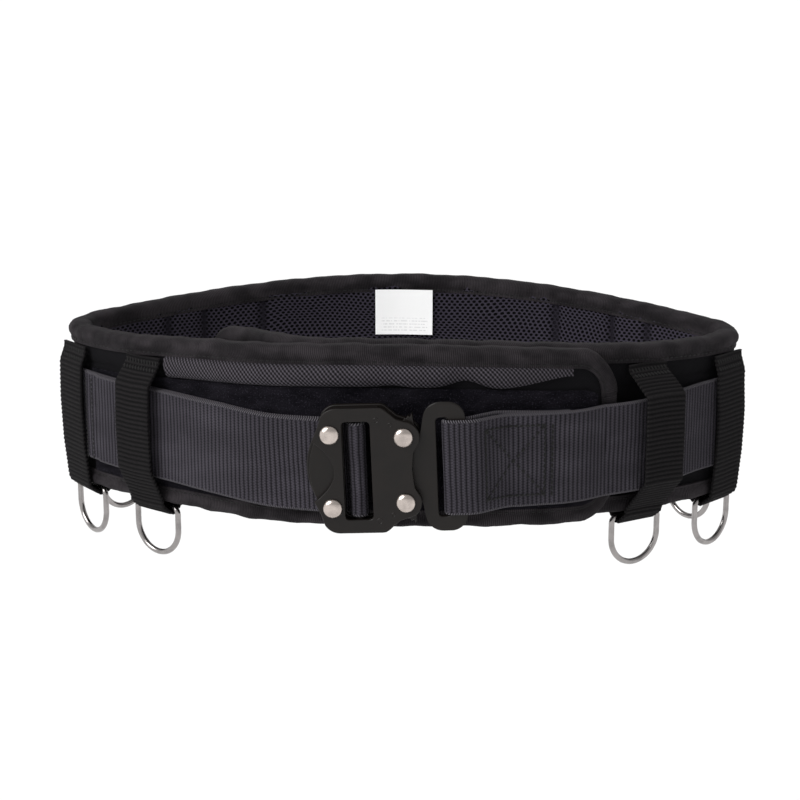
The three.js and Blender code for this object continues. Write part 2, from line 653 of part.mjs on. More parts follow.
function makeTongue() {
  const upper = [
    point(-4, 0), point(-4, 8), point(-1.5, 11.5), point(3, 11.5), point(4.6, 8.5),
    point(12, 8.5), point(15.5, 9.5), point(19.4, 18), point(20.6, 26),
    ...arc(28.6, BUCKLE_HALF_HEIGHT - 8, 8, 175, 90, 4),
    ...arc(TONGUE_END - 8, BUCKLE_HALF_HEIGHT - 8, 8, 80, 5, 4), point(TONGUE_END, 0),
  ];
  const slot = rectangle(TONGUE_SLOT, SLOT_HALF_HEIGHT + 0.2);
  add('buckle_tongue', 'blackMetal', plate(
    mirrored(upper), [slot], middleY + TONGUE_THICKNESS / 2, TONGUE_THICKNESS,
  ), buckle);
}

makePad();
makePadTrim();
makeWebbing();
LOOP_X.forEach((unused, index) => makeKeeper(index));
makeBuckleBody();
makeRivets();
makeLever('release_lever_upper', 1);
makeLever('release_lever_lower', -1);
makeLeverSpring('lever_spring_upper', 1);
makeLeverSpring('lever_spring_lower', -1);
makeTongue();

export default belt;
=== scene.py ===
"""The padded tool belt's looks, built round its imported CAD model.

Lengths in this script are millimetres until a mesh is made.
"""

import math

import bpy
import numpy as np
from mathutils import Matrix, Vector


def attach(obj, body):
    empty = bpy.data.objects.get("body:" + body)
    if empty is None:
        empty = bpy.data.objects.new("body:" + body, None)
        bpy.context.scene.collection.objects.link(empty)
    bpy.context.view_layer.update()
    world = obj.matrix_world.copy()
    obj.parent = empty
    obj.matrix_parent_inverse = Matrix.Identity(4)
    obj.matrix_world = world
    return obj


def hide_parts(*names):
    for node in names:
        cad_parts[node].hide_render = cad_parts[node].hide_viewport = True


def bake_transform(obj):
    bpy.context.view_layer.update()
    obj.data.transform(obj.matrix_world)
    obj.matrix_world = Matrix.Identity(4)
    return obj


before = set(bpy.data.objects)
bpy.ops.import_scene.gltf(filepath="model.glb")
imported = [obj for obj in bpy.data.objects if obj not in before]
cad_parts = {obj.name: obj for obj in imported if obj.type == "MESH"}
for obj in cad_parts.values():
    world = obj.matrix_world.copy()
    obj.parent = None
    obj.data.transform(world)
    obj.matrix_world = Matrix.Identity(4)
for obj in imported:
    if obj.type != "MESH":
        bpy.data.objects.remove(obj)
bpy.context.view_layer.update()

# ---------- dimensions ----------
# The CAD source's, but for the side loops' slack and the roll's bulge (1.5 and 4.2 there).
WEBBING_WIDTH = 50.0
WEBBING = 2.2
GAP = 0.3
HALF_LENGTH, HALF_DEPTH, TIP_RADIUS = 182.5, 99.5, 28.0
PAD, PAD_END, TAPER = 10.0, 6.5, 35.0
TOP_FRONT, TOP_BACK, TOP_SIDE = 60.0, 54.5, 46.5
BOTTOM_FRONT, BOTTOM_SIDE, CORNER = -35.5, -43.0, 22.0
OUTER_END_X, INNER_END_X = 112.0, -122.0
LIFT, SPRING, SPRING_START, SPRING_RAMP = 12.5, 32.0, 100.0, 85.0
TAIL_END_X, WEBBING_SLACK = -166.0, 7.0
ROLL_HEIGHT, ROLL_BULGE = 11.5, 4.3
ROLL_FROM_X, ROLL_TO_X = 88.5, -119.0
PATCH_HALF, PATCH_RUN = 22.0, (12.0, 88.0)
JOIN_X, TAIL_START_X = 104.0, -46.0
LABEL_Z, LABEL_SIDES = (18.8, 46.6), (-22, 14)  # its sides are from the middle of the back
RIM = 1.2  # from the pad's layers to its edge
LINING, BINDING, BINDING_HEIGHT, FUZZY = 1.8, 0.9, 9.0, 0.8
LOOP_WIDTH, LOOP = 25.0, 2.0
LOOPS = [
    ("front_right", -131, True, 4.0), ("front_left", 131, True, 4.0),
    ("side_right", -176, True, 0.4), ("side_left", 176, True, 0.4),
    ("rear_right", -167, False, 1.5), ("rear_left", 167, False, 1.5),
    ("back_right", -75, False, 2.5), ("back_left", 75, False, 2.5),
]
RING_WIRE, RING_HALF, RING_BAR_DROP, RING_HEIGHT = 1.6, 15.4, 3.0, 27.5
TILT = math.radians(2.3)
PLATE, SPACE, BUCKLE_HALF = 2.8, 5.6, 33.0
SLOT, SLOT_HALF = (-21.1, -6.7), 25.9
REAR_RIVET, PIVOT_RIVET = (-27.3, 19.4), (10.1, 17.2)
RIVET_RADIUS, RIVET_HEAD = 2.8, 5.0
BAR_X, BAR_RADIUS = -13.9, 2.2
TONGUE, TONGUE_SLOT, TONGUE_END, LEVER = 3.0, (26.5, 32.6), 40.6, 4.8

TIP_CENTRE = HALF_LENGTH - TIP_RADIUS
LONG_RADIUS = (TIP_CENTRE**2 + HALF_DEPTH**2 - TIP_RADIUS**2) / (2 * (HALF_DEPTH - TIP_RADIUS))
LONG_ANGLE = math.atan2(TIP_CENTRE, LONG_RADIUS - HALF_DEPTH)
LONG_LENGTH = LONG_RADIUS * LONG_ANGLE
TIP_LENGTH = TIP_RADIUS * (math.pi / 2 - LONG_ANGLE)
QUARTER = LONG_LENGTH + TIP_LENGTH
PERIMETER = 4 * QUARTER


# ---------- the plan and the strip ----------
def smooth(u):
    u = np.clip(u, 0, 1)
    return u * u * (3 - 2 * u)


def plan(s, off):
    """Points of the oval at length s from the middle of the front, off outside it, as (..., 2)."""
    along = np.mod(np.asarray(s, float), PERIMETER)
    side = np.minimum(np.floor(along / QUARTER), 3)
    middle = np.where(side % 2 == 0, along - side * QUARTER, (side + 1) * QUARTER - along)
    tip = middle > LONG_LENGTH
    angle = np.where(tip, LONG_ANGLE + (middle - LONG_LENGTH) / TIP_RADIUS, middle / LONG_RADIUS)
    radius = np.where(tip, TIP_RADIUS, LONG_RADIUS) + off
    x = radius * np.sin(angle) + np.where(tip, TIP_CENTRE, 0)
    y = radius * np.cos(angle) - np.where(tip, 0, LONG_RADIUS - HALF_DEPTH)
    return np.stack([np.where(side < 2, x, -x), np.where((side == 1) | (side == 2), y, -y)], -1)


def front_length(x):
    if abs(x) > LONG_RADIUS * math.sin(LONG_ANGLE):
        angle = math.asin((abs(x) - TIP_CENTRE) / TIP_RADIUS)
        length = LONG_LENGTH + (angle - LONG_ANGLE) * TIP_RADIUS
    else:
        length = math.asin(abs(x) / LONG_RADIUS) * LONG_RADIUS
    return math.copysign(length, x)


OUTER_END = front_length(OUTER_END_X)
STRIP = OUTER_END + PERIMETER - front_length(INNER_END_X)


def along(t):
    return OUTER_END - t


def thickness(t):
    return PAD_END + (PAD - PAD_END) * np.minimum(smooth(t / TAPER), smooth((STRIP - t) / TAPER))


def lift(t):
    return LIFT * (1 - smooth((t - OUTER_END - 45) / 80))


def inner_face(t):
    return lift(t) - SPRING * smooth((t - STRIP + SPRING_START) / SPRING_RAMP) - PAD / 2


def outer_face(t):
    return inner_face(t) + thickness(t)


def top_line(t):
    turn = np.cos(2 * np.pi * along(t) / PERIMETER)
    return TOP_SIDE + (np.where(turn > 0, TOP_FRONT, TOP_BACK) - TOP_SIDE) * turn**2


def bottom_line(t):
    turn = np.cos(2 * np.pi * along(t) / PERIMETER)
    return BOTTOM_SIDE + (BOTTOM_FRONT - BOTTOM_SIDE) * turn**2


def corner_cut(t):
    inward = CORNER - np.clip(np.minimum(t, STRIP - t), 0, CORNER)
    return CORNER - np.sqrt(CORNER**2 - inward**2)


def on_strip(t, off, z):
    """Points at length t on the pad's strip, off outside the oval, at height z."""
    t, off, z = np.broadcast_arrays(t, off, z)
    return np.concatenate([plan(along(t), off), z[..., None]], -1)


def tilted(points):
    """The webbing turns with the buckle where it meets it."""
    x, y, z = np.moveaxis(points, -1, 0)
    share = np.where(y < -HALF_DEPTH, 1 - smooth((np.abs(x) - 42) / 50), 0)
    slope = share * math.tan(TILT)
    return np.stack([x - z * slope, y, z + x * slope], -1)


def ripple(x, seed, period, y=0.0):
    """A smooth, irregular wave from -1 to 1 or so, in one direction or two."""
    rng = np.random.RandomState(seed)
    total = 0
    for _ in range(5):
        rate = 2 * np.pi * (0.55 + rng.rand()) / period
        turn = (rng.rand() - 0.5) * 2.2
        total = total + np.sin(rate * (x * np.cos(turn) + y * np.sin(turn)) + 6.28 * rng.rand())
    return total / 3


def run_length(path):
    """The length along a path, at each of its points."""
    return np.concatenate([[0], np.cumsum(np.linalg.norm(np.diff(path, axis=0), axis=1))])


def unit(ways):
    return ways / np.linalg.norm(ways, axis=1)[:, None]


def sample(where, length, path):
    """Points of the path at those lengths along it."""
    return np.stack([np.interp(where, length, path[:, k]) for k in range(path.shape[1])], -1)


def grid(*parts):
    """Numbers and arrays brought to one shape and stacked."""
    return np.stack(np.broadcast_arrays(*parts), -1)


def right_of(way):
    """Square to each way in its plane, on its right."""
    return np.stack([way[:, 1], -way[:, 0]], -1)


def section(edge, radius, count, degrees):
    """Webbing cut across: places from -edge to edge and back, and the face each is on."""
    turn = np.radians(degrees)
    flat = np.linspace(-edge, edge, count)
    tip = edge + radius * np.cos(turn)
    face = np.concatenate([-np.ones(count), np.sin(turn), np.ones(count), -np.sin(turn)])
    return np.concatenate([flat, tip, flat[::-1], -tip]), face


# ---------- meshes ----------
def stand(name, data):
    """An object in the scene that holds the data."""
    holder = bpy.data.objects.new(name, data)
    bpy.context.scene.collection.objects.link(holder)
    return holder


def shade(mesh, sharp):
    mesh.polygons.foreach_set("use_smooth", [True] * len(mesh.polygons))
    mesh.set_sharp_from_angle(angle=math.radians(sharp))


def make_piece(name, points, faces, place=None, sharp=38):
    """A mesh object from points. place is what its material reads: along, across and out."""
    mesh = bpy.data.meshes.new(name)
    mesh.from_pydata((np.asarray(points) * 0.001).tolist(), [], faces)
    if place is not None:
        attribute = mesh.attributes.new("place", "FLOAT_VECTOR", "POINT")
        attribute.data.foreach_set("vector", np.asarray(place, np.float32).ravel())
    shade(mesh, sharp)
    mesh.update()
    return stand(name, mesh)


def loft_parts(rings, place, closed=False):
    """Points, faces and place of a solid through rings of shape (n, m, 3)."""
    n, m = rings.shape[:2]
    points = rings.reshape(-1, 3)
    last = n if closed else n - 1
    i, j = np.meshgrid(np.arange(last), np.arange(m), indexing="ij")
    nxt, side = (i + 1) % n, (j + 1) % m
    quads = np.stack([i * m + j, i * m + side, nxt * m + side, nxt * m + j], -1).reshape(-1, 4)
    a, b, c, d = (points[quads[:, k]] for k in range(4))
    volume = (a * np.cross(b, c)).sum() + (a * np.cross(c, d)).sum()
    faces = quads.tolist()
    if not closed:
        for ring, flip in ((0, True), (n - 1, False)):
            cap = [ring * m + k for k in range(m)]
            faces.append(cap[::-1] if flip else cap)
            p = points[cap]
            sign = -1 if flip else 1
            volume += sign * (p[0] * np.cross(p[1:-1], p[2:])).sum()
    if volume < 0:
        faces = [face[::-1] for face in faces]
    return points, faces, place.reshape(-1, 3)


def loft(name, rings, place, closed=False, sharp=38):
    return make_piece(name, *loft_parts(rings, place, closed), sharp=sharp)


def sandwich(name, face, back, place):
    """A thin sheet between two grids of points that run the same way."""
    rings = np.concatenate([face, back[:, ::-1]], 1)
    return loft(name, rings, np.concatenate([place, place[:, ::-1]], 1))


def join_parts(parts):
    """Several (points, faces, place) as one."""
    points, faces, place, base = [], [], [], 0
    for p, f, a in parts:
        points.append(p)
        place.append(a)
        faces += [[k + base for k in face] for face in f]
        base += len(p)
    return np.concatenate(points), faces, np.concatenate(place)


def stitch_parts(centres, ways, outs, length=2.3, radius=0.5):
    """Small raised threads: each is a flattened bead along its way, lying on the surface that faces out."""
    steps = np.array([-1.0, -0.62, 0, 0.62, 1.0])
    sizes = np.array([0.25, 0.85, 1.0, 0.85, 0.25])
    angles = np.arange(6) * np.pi / 3
    parts = []
    for centre, way, out in zip(centres, ways, outs):
        way = way / np.linalg.norm(way)
        side = np.cross(out, way)
        side = side / np.linalg.norm(side)
        up = np.cross(way, side)
        ring = np.cos(angles)[:, None] * side + 0.75 * np.sin(angles)[:, None] * up
        rings = centre + steps[:, None, None] * way * length / 2 + (sizes[:, None, None] * ring) * radius
        place = np.zeros(rings.shape)
        place[..., 0] = steps[:, None] * length / 2
        place[..., 1] = angles[None, :]
        parts.append(loft_parts(rings, place))
    return join_parts(parts)


# ---------- materials ----------
def linear(red, green, blue):
    """A colour given as 0 to 255, as the shader wants it."""
    scaled = [c / 255 for c in (red, green, blue)]
    return [c / 12.92 if c <= 0.04045 else ((c + 0.055) / 1.055) ** 2.4 for c in scaled] + [1.0]


class Paint:
    """One procedural material. Patterns are worked out from the piece's own millimetres."""

    def __init__(self, name, rough=0.8, specular=0.2, metal=0.0, sheen=0.0):
        self.material = bpy.data.materials.new(name)
        self.material.use_nodes = True
        self.tree = self.material.node_tree
        self.tree.nodes.clear()
        output = self.node("OutputMaterial")
        self.shader = self.node("BsdfPrincipled", {
            "Roughness": rough, "Specular IOR Level": specular, "Metallic": metal,
            "Sheen Weight": sheen, "Sheen Roughness": 0.45, "Sheen Tint": [1, 1, 1, 1],
        })
        self.put(output.inputs[0], self.shader.outputs[0])

    def node(self, kind, values=()):
        """A new node with these of its inputs set, or joined to another node."""
        node = self.tree.nodes.new("ShaderNode" + kind)
        for socket, value in dict(values).items():
            self.put(node.inputs[socket], value)
        return node

    def put(self, socket, value):
        if isinstance(value, bpy.types.NodeSocket):
            self.tree.links.new(value, socket)
        elif value is not None:
            socket.default_value = value

    def math(self, operation, *values):
        node = self.node("Math", enumerate(values))
        node.operation = operation
        return node.outputs[0]

    def mad(self, a, b, c):
        """a times b, plus c."""
        return self.math("MULTIPLY_ADD", a, b, c)

    def add(self, a, b):
        return self.math("ADD", a, b)

    def times(self, a, b):
        return self.math("MULTIPLY", a, b)

    def place(self):
        """(along, across, out) in millimetres."""
        node = self.node("Attribute")
        node.attribute_name = "place"
        return tuple(self.node("SeparateXYZ", {0: node.outputs["Vector"]}).outputs)

    def own(self):
        """The piece's own coordinates, in metres."""
        return self.node("TexCoord").outputs["Object"]

    def vector(self, x, y, z=0.0):
        return self.node("CombineXYZ", enumerate((x, y, z))).outputs[0]

    def noise(self, vector, scale, detail=2.0, rough=0.5, distortion=0.0):
        return self.node("TexNoise", {
            "Vector": vector, "Scale": scale, "Detail": detail, "Roughness": rough, "Distortion": distortion,
        }).outputs[0]

    def grain(self, u, v, along, across, detail=2.0, rough=0.5, distortion=0.0, layer=0.0):
        """Noise in the piece's own millimetres, at these rates along and across it."""
        where = self.vector(self.times(u, along), self.times(v, across), layer)
        return self.noise(where, 1.0, detail, rough, distortion)

    def wave(self, x, period, phase=0.0):
        """From 0 to 1, once each period."""
        turned = self.mad(x, 2 * math.pi / period, phase)
        return self.mad(self.math("COSINE", turned), 0.5, 0.5)

    def span(self, x, low, high, a=0.0, b=1.0):
        """x from low to high turned smoothly into a to b."""
        node = self.node("MapRange", enumerate((x, low, high, a, b)))
        node.interpolation_type = "SMOOTHSTEP"
        return node.outputs[0]

    def mix(self, share, a, b):
        """Each colour is (red, green, blue) from 0 to 255, or comes from a node."""
        node = self.node("Mix")
        node.data_type = "RGBA"
        for socket, value in (("Factor", share), (6, a), (7, b)):
            self.put(node.inputs[socket], linear(*value) if isinstance(value, tuple) else value)
        return node.outputs[2]

    def finish(self, color, height=None, depth=0.3, rough=None):
        """depth is how deep the height's whole range is, in millimetres."""
        self.put(self.shader.inputs["Base Color"], color)
        self.put(self.shader.inputs["Roughness"], rough)
        if height is not None:
            bump = self.node("Bump", {"Strength": 1.0, "Distance": depth * 0.001, "Height": height})
            self.put(self.shader.inputs["Normal"], bump.outputs[0])
        return self.material


def webbing_paint():
    """Heavy flat webbing: rows of yarn that dive in turn, and a dashed selvedge."""
    row, column = 1.5, 2.6
    p = Paint("webbing", rough=0.85, specular=0.05, sheen=0.015)
    u, v, _ = p.place()
    sway = p.times(p.add(p.grain(u, v, 0.05, 0.05, 3), -0.5), 1.2)
    u2, v2 = p.add(u, sway), p.mad(sway, 0.35, v)
    turn = p.math("MODULO", p.math("FLOOR", p.math("DIVIDE", p.add(u2, 4000.0), column)), 2.0)
    phase = p.mad(v2, math.pi / row, p.times(turn, math.pi / 2))
    ridge = p.math("ABSOLUTE", p.math("SINE", phase))
    dive = p.math("POWER", p.math("ABSOLUTE", p.math("SINE", p.times(u2, math.pi / column))), 0.8)
    body = p.times(p.mad(ridge, 0.5, 0.5), p.mad(dive, 0.9, 0.1))
    far = p.math("ABSOLUTE", v)
    on_edge = p.span(far, WEBBING_WIDTH / 2 - 1.6, WEBBING_WIDTH / 2 - 0.9)
    dashes = p.wave(p.mad(far, 0.5, u2), 1.25)
    height = p.add(p.times(body, p.math("SUBTRACT", 1.0, on_edge)), p.times(dashes, on_edge))
    fibre = p.grain(u, v, 0.6, 4.0, 3, 0.7)
    patch = p.grain(u, v, 0.02, 0.05, 3, layer=3.0)
    worn = p.times(p.span(patch, 0.4, 0.75, 0.0, 0.35), height)
    tone = p.add(p.mad(height, 0.8, worn), p.times(p.add(fibre, -0.5), 0.5))
    color = p.mix(p.math("MAXIMUM", p.math("MINIMUM", tone, 1.0), 0.0), (2, 2, 3), (71, 68, 75))
    color = p.mix(p.times(on_edge, p.times(dashes, 0.75)), color, (108, 105, 110))
    return p.finish(color, p.mad(fibre, 0.2, height), depth=0.6)


def keeper_paint():
    """Black ribbed webbing: heavy ribs across, each with its own slanting fibres."""
    p = Paint("keeper_webbing", rough=0.8, specular=0.06, sheen=0.01)
    u, v, _ = p.place()
    yarn = p.wave(p.mad(u, 0.35, v), 0.9)
    fibre = p.grain(v, u, 0.5, 3.0, 3, 0.7)
    rib = p.wave(u, 2.5)
    shade = p.times(p.add(p.times(rib, 0.65), p.times(yarn, 0.35)), p.span(fibre, 0.2, 0.75, 0.5, 1.0))
    color = p.mix(shade, (5, 5, 6), (38, 36, 37))
    return p.finish(color, p.add(p.times(yarn, 0.6), fibre), depth=0.22)


def cover_paint():
    """Plain close-woven bag cloth."""
    pitch = 0.75
    p = Paint("cover_fabric", rough=0.88, specular=0.05, sheen=0.01)
    u, v, _ = p.place()
    over = p.times(p.wave(u, 2 * pitch), p.wave(v, pitch))
    under = p.times(p.wave(u, 2 * pitch, math.pi), p.wave(v, pitch, math.pi))
    weave = p.add(over, under)
    soft = p.grain(u, v, 0.03, 0.03, 4)
    color = p.mix(p.times(weave, p.span(soft, 0.25, 0.8, 0.4, 1.0)), (4, 4, 5), (30, 29, 32))
    rough = p.span(soft, 0.3, 0.7, 0.76, 0.9)
    return p.finish(color, p.add(weave, p.times(soft, 0.8)), depth=0.2, rough=rough)


def roll_paint():
    """A diamond weave of thick yarns, as over the front roll. The weave's height sets its colour: painted
    highlight on the yarn tops, painted shade in the hollows.
    """
    p = Paint("roll_fabric", rough=0.72, specular=0.08, sheen=0.015)
    u, v, _ = p.place()
    wander = p.times(p.add(p.grain(u, v, 0.04, 0.06, 3), -0.5), 2.4)
    u2 = p.add(u, wander)
    one = p.wave(p.mad(v, 0.8, u2), 2.1)
    two = p.wave(p.mad(v, -0.8, u2), 2.1)
    weave = p.math("MAXIMUM", p.times(one, 0.95), p.times(two, 0.55))
    knots = p.times(one, two)
    height = p.math("POWER", p.add(p.times(weave, 0.6), p.times(knots, 0.4)), 1.5)
    fibre = p.grain(u, v, 1.6, 1.6, 3, 0.7)
    # Painted light: pale on the yarn tops as highlight, near-black in the hollows as shade.
    shade = p.times(height, p.span(fibre, 0.2, 0.8, 0.55, 1.0))
    color = p.mix(shade, (1, 1, 2), (104, 99, 107))
    return p.finish(color, height, depth=0.5)


def mesh_paint():
    """Spacer mesh: staggered oval holes in a knitted face, painted near-black inside as shade in the mesh's
    depth.
    """
    p = Paint("air_mesh", rough=0.85, specular=0.05, sheen=0.012)
    u, v, seam = p.place()
    bend = p.grain(u, v, 0.012, 0.02, 2)
    u2 = p.mad(p.add(bend, -0.5), 16.0, u)
    v2 = p.mad(p.add(bend, -0.5), 12.0, v)
    wide, tall = 3.3, 3.7

    def cell(x, start, pitch, radius):
        share = p.math("FRACT", p.math("DIVIDE", p.add(x, start), pitch))
        return p.times(p.add(share, -0.5), pitch / radius)

    def hole(shift):
        du = cell(u2, 3300.0 + shift * wide, wide, 1.02)
        dv = cell(v2, 370.0 + shift * tall, tall, 0.78)
        return p.math("SQRT", p.add(p.times(du, du), p.times(dv, dv)))

    near = p.math("MINIMUM", hole(0.0), hole(0.5))
    solid = p.span(near, 0.75, 1.15)
    solid = p.math("MAXIMUM", solid, p.span(seam, 0.55, 0.95))
    fibre = p.grain(u, v, 2.2, 0.9, 3, 0.75)
    knit = p.times(solid, p.span(fibre, 0.25, 0.75, 0.55, 1.0))
    # The holes' near-black is painted shade in the mesh's depth.
    color = p.mix(knit, (2, 2, 3), (62, 58, 69))
    color = p.mix(p.times(seam, 0.78), color, (9, 8, 11))
    return p.finish(color, p.add(solid, p.times(fibre, 0.3)), depth=0.9)


def tape_paint():
    """Binding tape: fine ribs across it, and a slight shine where it is stretched."""
    p = Paint("edge_tape", rough=0.82, specular=0.05, sheen=0.012)
    u, v, _ = p.place()
    ribs = p.wave(p.mad(v, 0.12, u), 1.0)
    fibre = p.grain(u, v, 0.9, 2.5, 4, 0.7)
    soft = p.grain(u, v, 0.05, 0.1, 3)
    shade = p.times(p.add(p.times(ribs, 0.45), p.times(fibre, 0.55)), p.span(soft, 0.35, 0.65, 0.5, 1.2))
    color = p.mix(shade, (1, 1, 2), (60, 56, 59))
    rough = p.span(soft, 0.3, 0.7, 0.62, 0.8)
    return p.finish(color, p.add(p.times(ribs, 0.6), fibre), depth=0.22, rough=rough)


def fuzzy_paint(name, scale=1.0):
    """Brushed loop pile: tiny tufts, brushed one way and another."""
    p = Paint(name, rough=0.97, specular=0.02, sheen=0.01)
    u, v, _ = p.place()
    tufts = p.grain(u, v, 1.5 * scale, 1.5 * scale, 5, 0.8)
    nap = p.grain(u, v, 0.06, 0.14, 4, 0.6, 0.6)
    flecks = p.span(p.grain(u, v, 1.1, 1.1, 2, 0.8, layer=7.0), 0.58, 0.68)
    shade = p.add(p.times(p.span(nap, 0.3, 0.75), 0.5), p.times(p.span(tufts, 0.35, 0.75), 0.5))
    color = p.mix(shade, (5, 5, 8), (34, 32, 38))
    color = p.mix(p.times(flecks, 0.55), color, (66, 63, 72))
    return p.finish(color, p.add(tufts, p.times(nap, 0.8)), depth=0.7)


def label_paint():
    """White satin with a few rows of small pale marks that stand for print."""
    p = Paint("label", rough=0.42, specular=0.4)
    u, v, _ = p.place()
    line_height = 1.9
    row = p.math("FRACT", p.math("DIVIDE", v, line_height))
    on_row = p.times(p.span(row, 0.18, 0.3), p.span(row, 0.62, 0.5))
    low = p.times(p.span(v, 10.4, 10.2), p.span(v, 1.0, 1.2))
    inside = p.times(p.span(u, 3.0, 3.4), p.span(u, 33.0, 31.0))
    line = p.math("FLOOR", p.math("DIVIDE", v, line_height))
    words = p.span(p.noise(p.vector(p.times(u, 0.62), line, 2.0), 1.0, 2, 0.6), 0.46, 0.5)
    marks = p.times(p.times(on_row, low), p.times(inside, words))
    weave = p.wave(v, 0.5)
    color = p.mix(p.times(marks, 0.35), (254, 254, 254), (150, 150, 155))
    return p.finish(color, p.add(weave, p.times(marks, -0.5)), depth=0.04)


def black_metal_paint():
    """Satin black plated steel, faintly mottled, rubbed brighter in small places."""
    tone = (21, 17, 15)
    p = Paint("black_metal", rough=0.42, specular=0.25)
    at = p.own()
    mottle = p.noise(at, 90.0, 5, 0.6)
    grain = p.noise(at, 2600.0, 3, 0.7)
    rubbed = p.span(p.noise(at, 320.0, 4, 0.7), 0.66, 0.8)
    color = p.mix(p.span(mottle, 0.3, 0.7), tuple(c * 0.8 for c in tone), tone)
    color = p.mix(p.times(rubbed, 0.25), color, (60, 54, 49))
    rough = p.span(mottle, 0.3, 0.7, 0.34, 0.46)
    return p.finish(color, p.add(grain, p.times(mottle, 0.6)), depth=0.02, rough=rough)


def bright_metal_paint(name, tone, rough):
    """Polished metal with a soft haze, hairlines and a little tarnish."""
    p = Paint(name, rough=rough, specular=0.5, metal=1.0)
    at = p.own()
    haze = p.noise(at, 160.0, 4, 0.6)
    scratch = p.noise(at, 1400.0, 2, 0.5, 2.0)
    color = p.mix(p.span(haze, 0.35, 0.75), tone, tuple(c * 0.86 for c in tone))
    return p.finish(color, scratch, depth=0.006, rough=p.span(haze, 0.3, 0.7, rough * 0.7, rough * 1.4))


def thread_paint():
    p = Paint("thread", rough=0.6, specular=0.3)
    u, v, _ = p.place()
    ply = p.wave(p.mad(v, 0.12, u), 0.5)
    fluff = p.noise(p.own(), 900.0, 3, 0.6)
    return p.finish(p.mix(p.times(ply, fluff), (1, 1, 1), (18, 17, 18)), ply, depth=0.08)


PAINTS = {
    "webbing": webbing_paint(),
    "keeper_webbing": keeper_paint(),
    "cover_fabric": cover_paint(),
    "roll_fabric": roll_paint(),
    "air_mesh": mesh_paint(),
    "edge_tape": tape_paint(),
    "fuzzy_loop": fuzzy_paint("fuzzy_loop"),
    "hook_tape": fuzzy_paint("hook_tape", 0.6),
    "label": label_paint(),
    "black_metal": black_metal_paint(),
    "nickel": bright_metal_paint("nickel", (204, 193, 186), 0.22),
    "ring_steel": bright_metal_paint("ring_steel", (158, 154, 153), 0.2),
    "spring_steel": bright_metal_paint("spring_steel", (150, 150, 150), 0.3),
    "thread": thread_paint(),
}


def dress(piece, paint, body="belt", replaces=()):
    """Gives a piece its material, the body it rides on and the CAD nodes it stands for."""
    piece.data.materials.clear()
    piece.data.materials.append(PAINTS[paint])
    if body:
        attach(piece, body)
    if replaces:
        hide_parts(*replaces)
    return piece


def sew(name, parts):
    """Stitches in thread, riding on the belt."""
    dress(make_piece(name, *join_parts(parts)), "thread")


# ---------- the pad ----------
SEAMS = np.array([-156.0, -131.0, -93.0, 93.0, 131.0, 156.0])  # from the middle of the back


def seam_share(t):
    """1 on the lining's upright sewn channels, 0 away from them."""
    from_back = along(t) - 2 * QUARTER
    from_back = np.mod(from_back + PERIMETER / 2, PERIMETER) - PERIMETER / 2
    near = np.abs(np.asarray(from_back)[..., None] - SEAMS).min(-1)
    return np.exp(-((near / 2.6) ** 2))


def face_heights(t, count):
    """Heights from low to high on the pad's face, as (n, count)."""
    low = bottom_line(t) + corner_cut(t) + RIM
    high = top_line(t) - corner_cut(t) - RIM
    share = np.linspace(0, 1, count)
    return low[:, None] + (high - low)[:, None] * share


def pad_layer(name, t, z, face, hidden, place):
    """A padded layer between two faces of the strip. Its hidden face has fewer columns."""
    back = on_strip(t[:, ::-5], hidden[:, ::-5], z[:, ::-5])
    rings = np.concatenate([on_strip(t, face, z), back], 1)
    return loft(name, rings, np.concatenate([place, place[:, ::-5]], 1))


def make_pad():
    t = np.linspace(RIM, STRIP - RIM, int(STRIP / 3.0))
    columns = 36
    z = face_heights(t, columns)
    tt = np.broadcast_to(t[:, None], z.shape)
    # The outer cover, over the foam: two sewn channels run above and below the webbing.
    channel = np.exp(-(((np.abs(z + 0.5) - 29.5) / 1.6) ** 2))
    away = smooth((t - OUTER_END - 60) / 40)[:, None]
    soft = 0.35 * ripple(tt, 3, 55, z * 1.4) - 0.45
    front = outer_face(tt) + soft - 1.1 * channel * away
    back = inner_face(tt) + LINING + 0.3
    rim = smooth((np.minimum(z - z[:, :1], z[:, -1:] - z)) / 3.0)
    front = back + (front - back) * (0.55 + 0.45 * rim)
    cover = pad_layer("pad_cover", tt, z, front, back, grid(tt, z, 0.0))
    dress(cover, "cover_fabric", replaces=("pad_outer_cover", "pad_foam_core"))

    # The lining: puffed between the channels, and dented along them.
    near = inner_face(tt) + 0.2 + 0.45 * ripple(tt, 8, 60, z * 1.3)
    dent = seam_share(tt)
    near = near - 0.5 * rim + 1.5 * dent * rim
    far = inner_face(tt) + LINING + 0.2
    near = np.minimum(near, far - 0.2)
    lining = pad_layer("pad_lining", tt, z, near, far, grid(tt, z, dent))
    dress(lining, "air_mesh", replaces=("pad_mesh_lining",))


def border():
    """The pad's rim as a closed line of (t, z), with the inward way at each point."""
    turn = np.radians(np.linspace(0, 90, 15))
    t_corner, cut = CORNER * (1 - np.cos(turn)), CORNER * (1 - np.sin(turn))
    run = np.linspace(CORNER, STRIP - CORNER, 520)[1:-1]
    rim_t = np.concatenate([t_corner, run, STRIP - t_corner[::-1]])
    rim_cut = np.concatenate([cut, 0 * run, cut[::-1]])
    upper = np.stack([rim_t, top_line(rim_t) - rim_cut], -1)
    lower = np.stack([rim_t, bottom_line(rim_t) + rim_cut], -1)[::-1]

    def end(a, b):
        share = np.linspace(0, 1, 24)[1:-1, None]
        return a + (b - a) * share

    line = np.concatenate([upper, end(upper[-1], lower[0]), lower, end(lower[-1], upper[0])])
    inward = right_of(unit(np.roll(line, -1, 0) - np.roll(line, 1, 0)))
    step = np.linalg.norm(line - np.roll(line, 1, 0), axis=1)
    step[0] = 0
    return line, inward, np.cumsum(step)


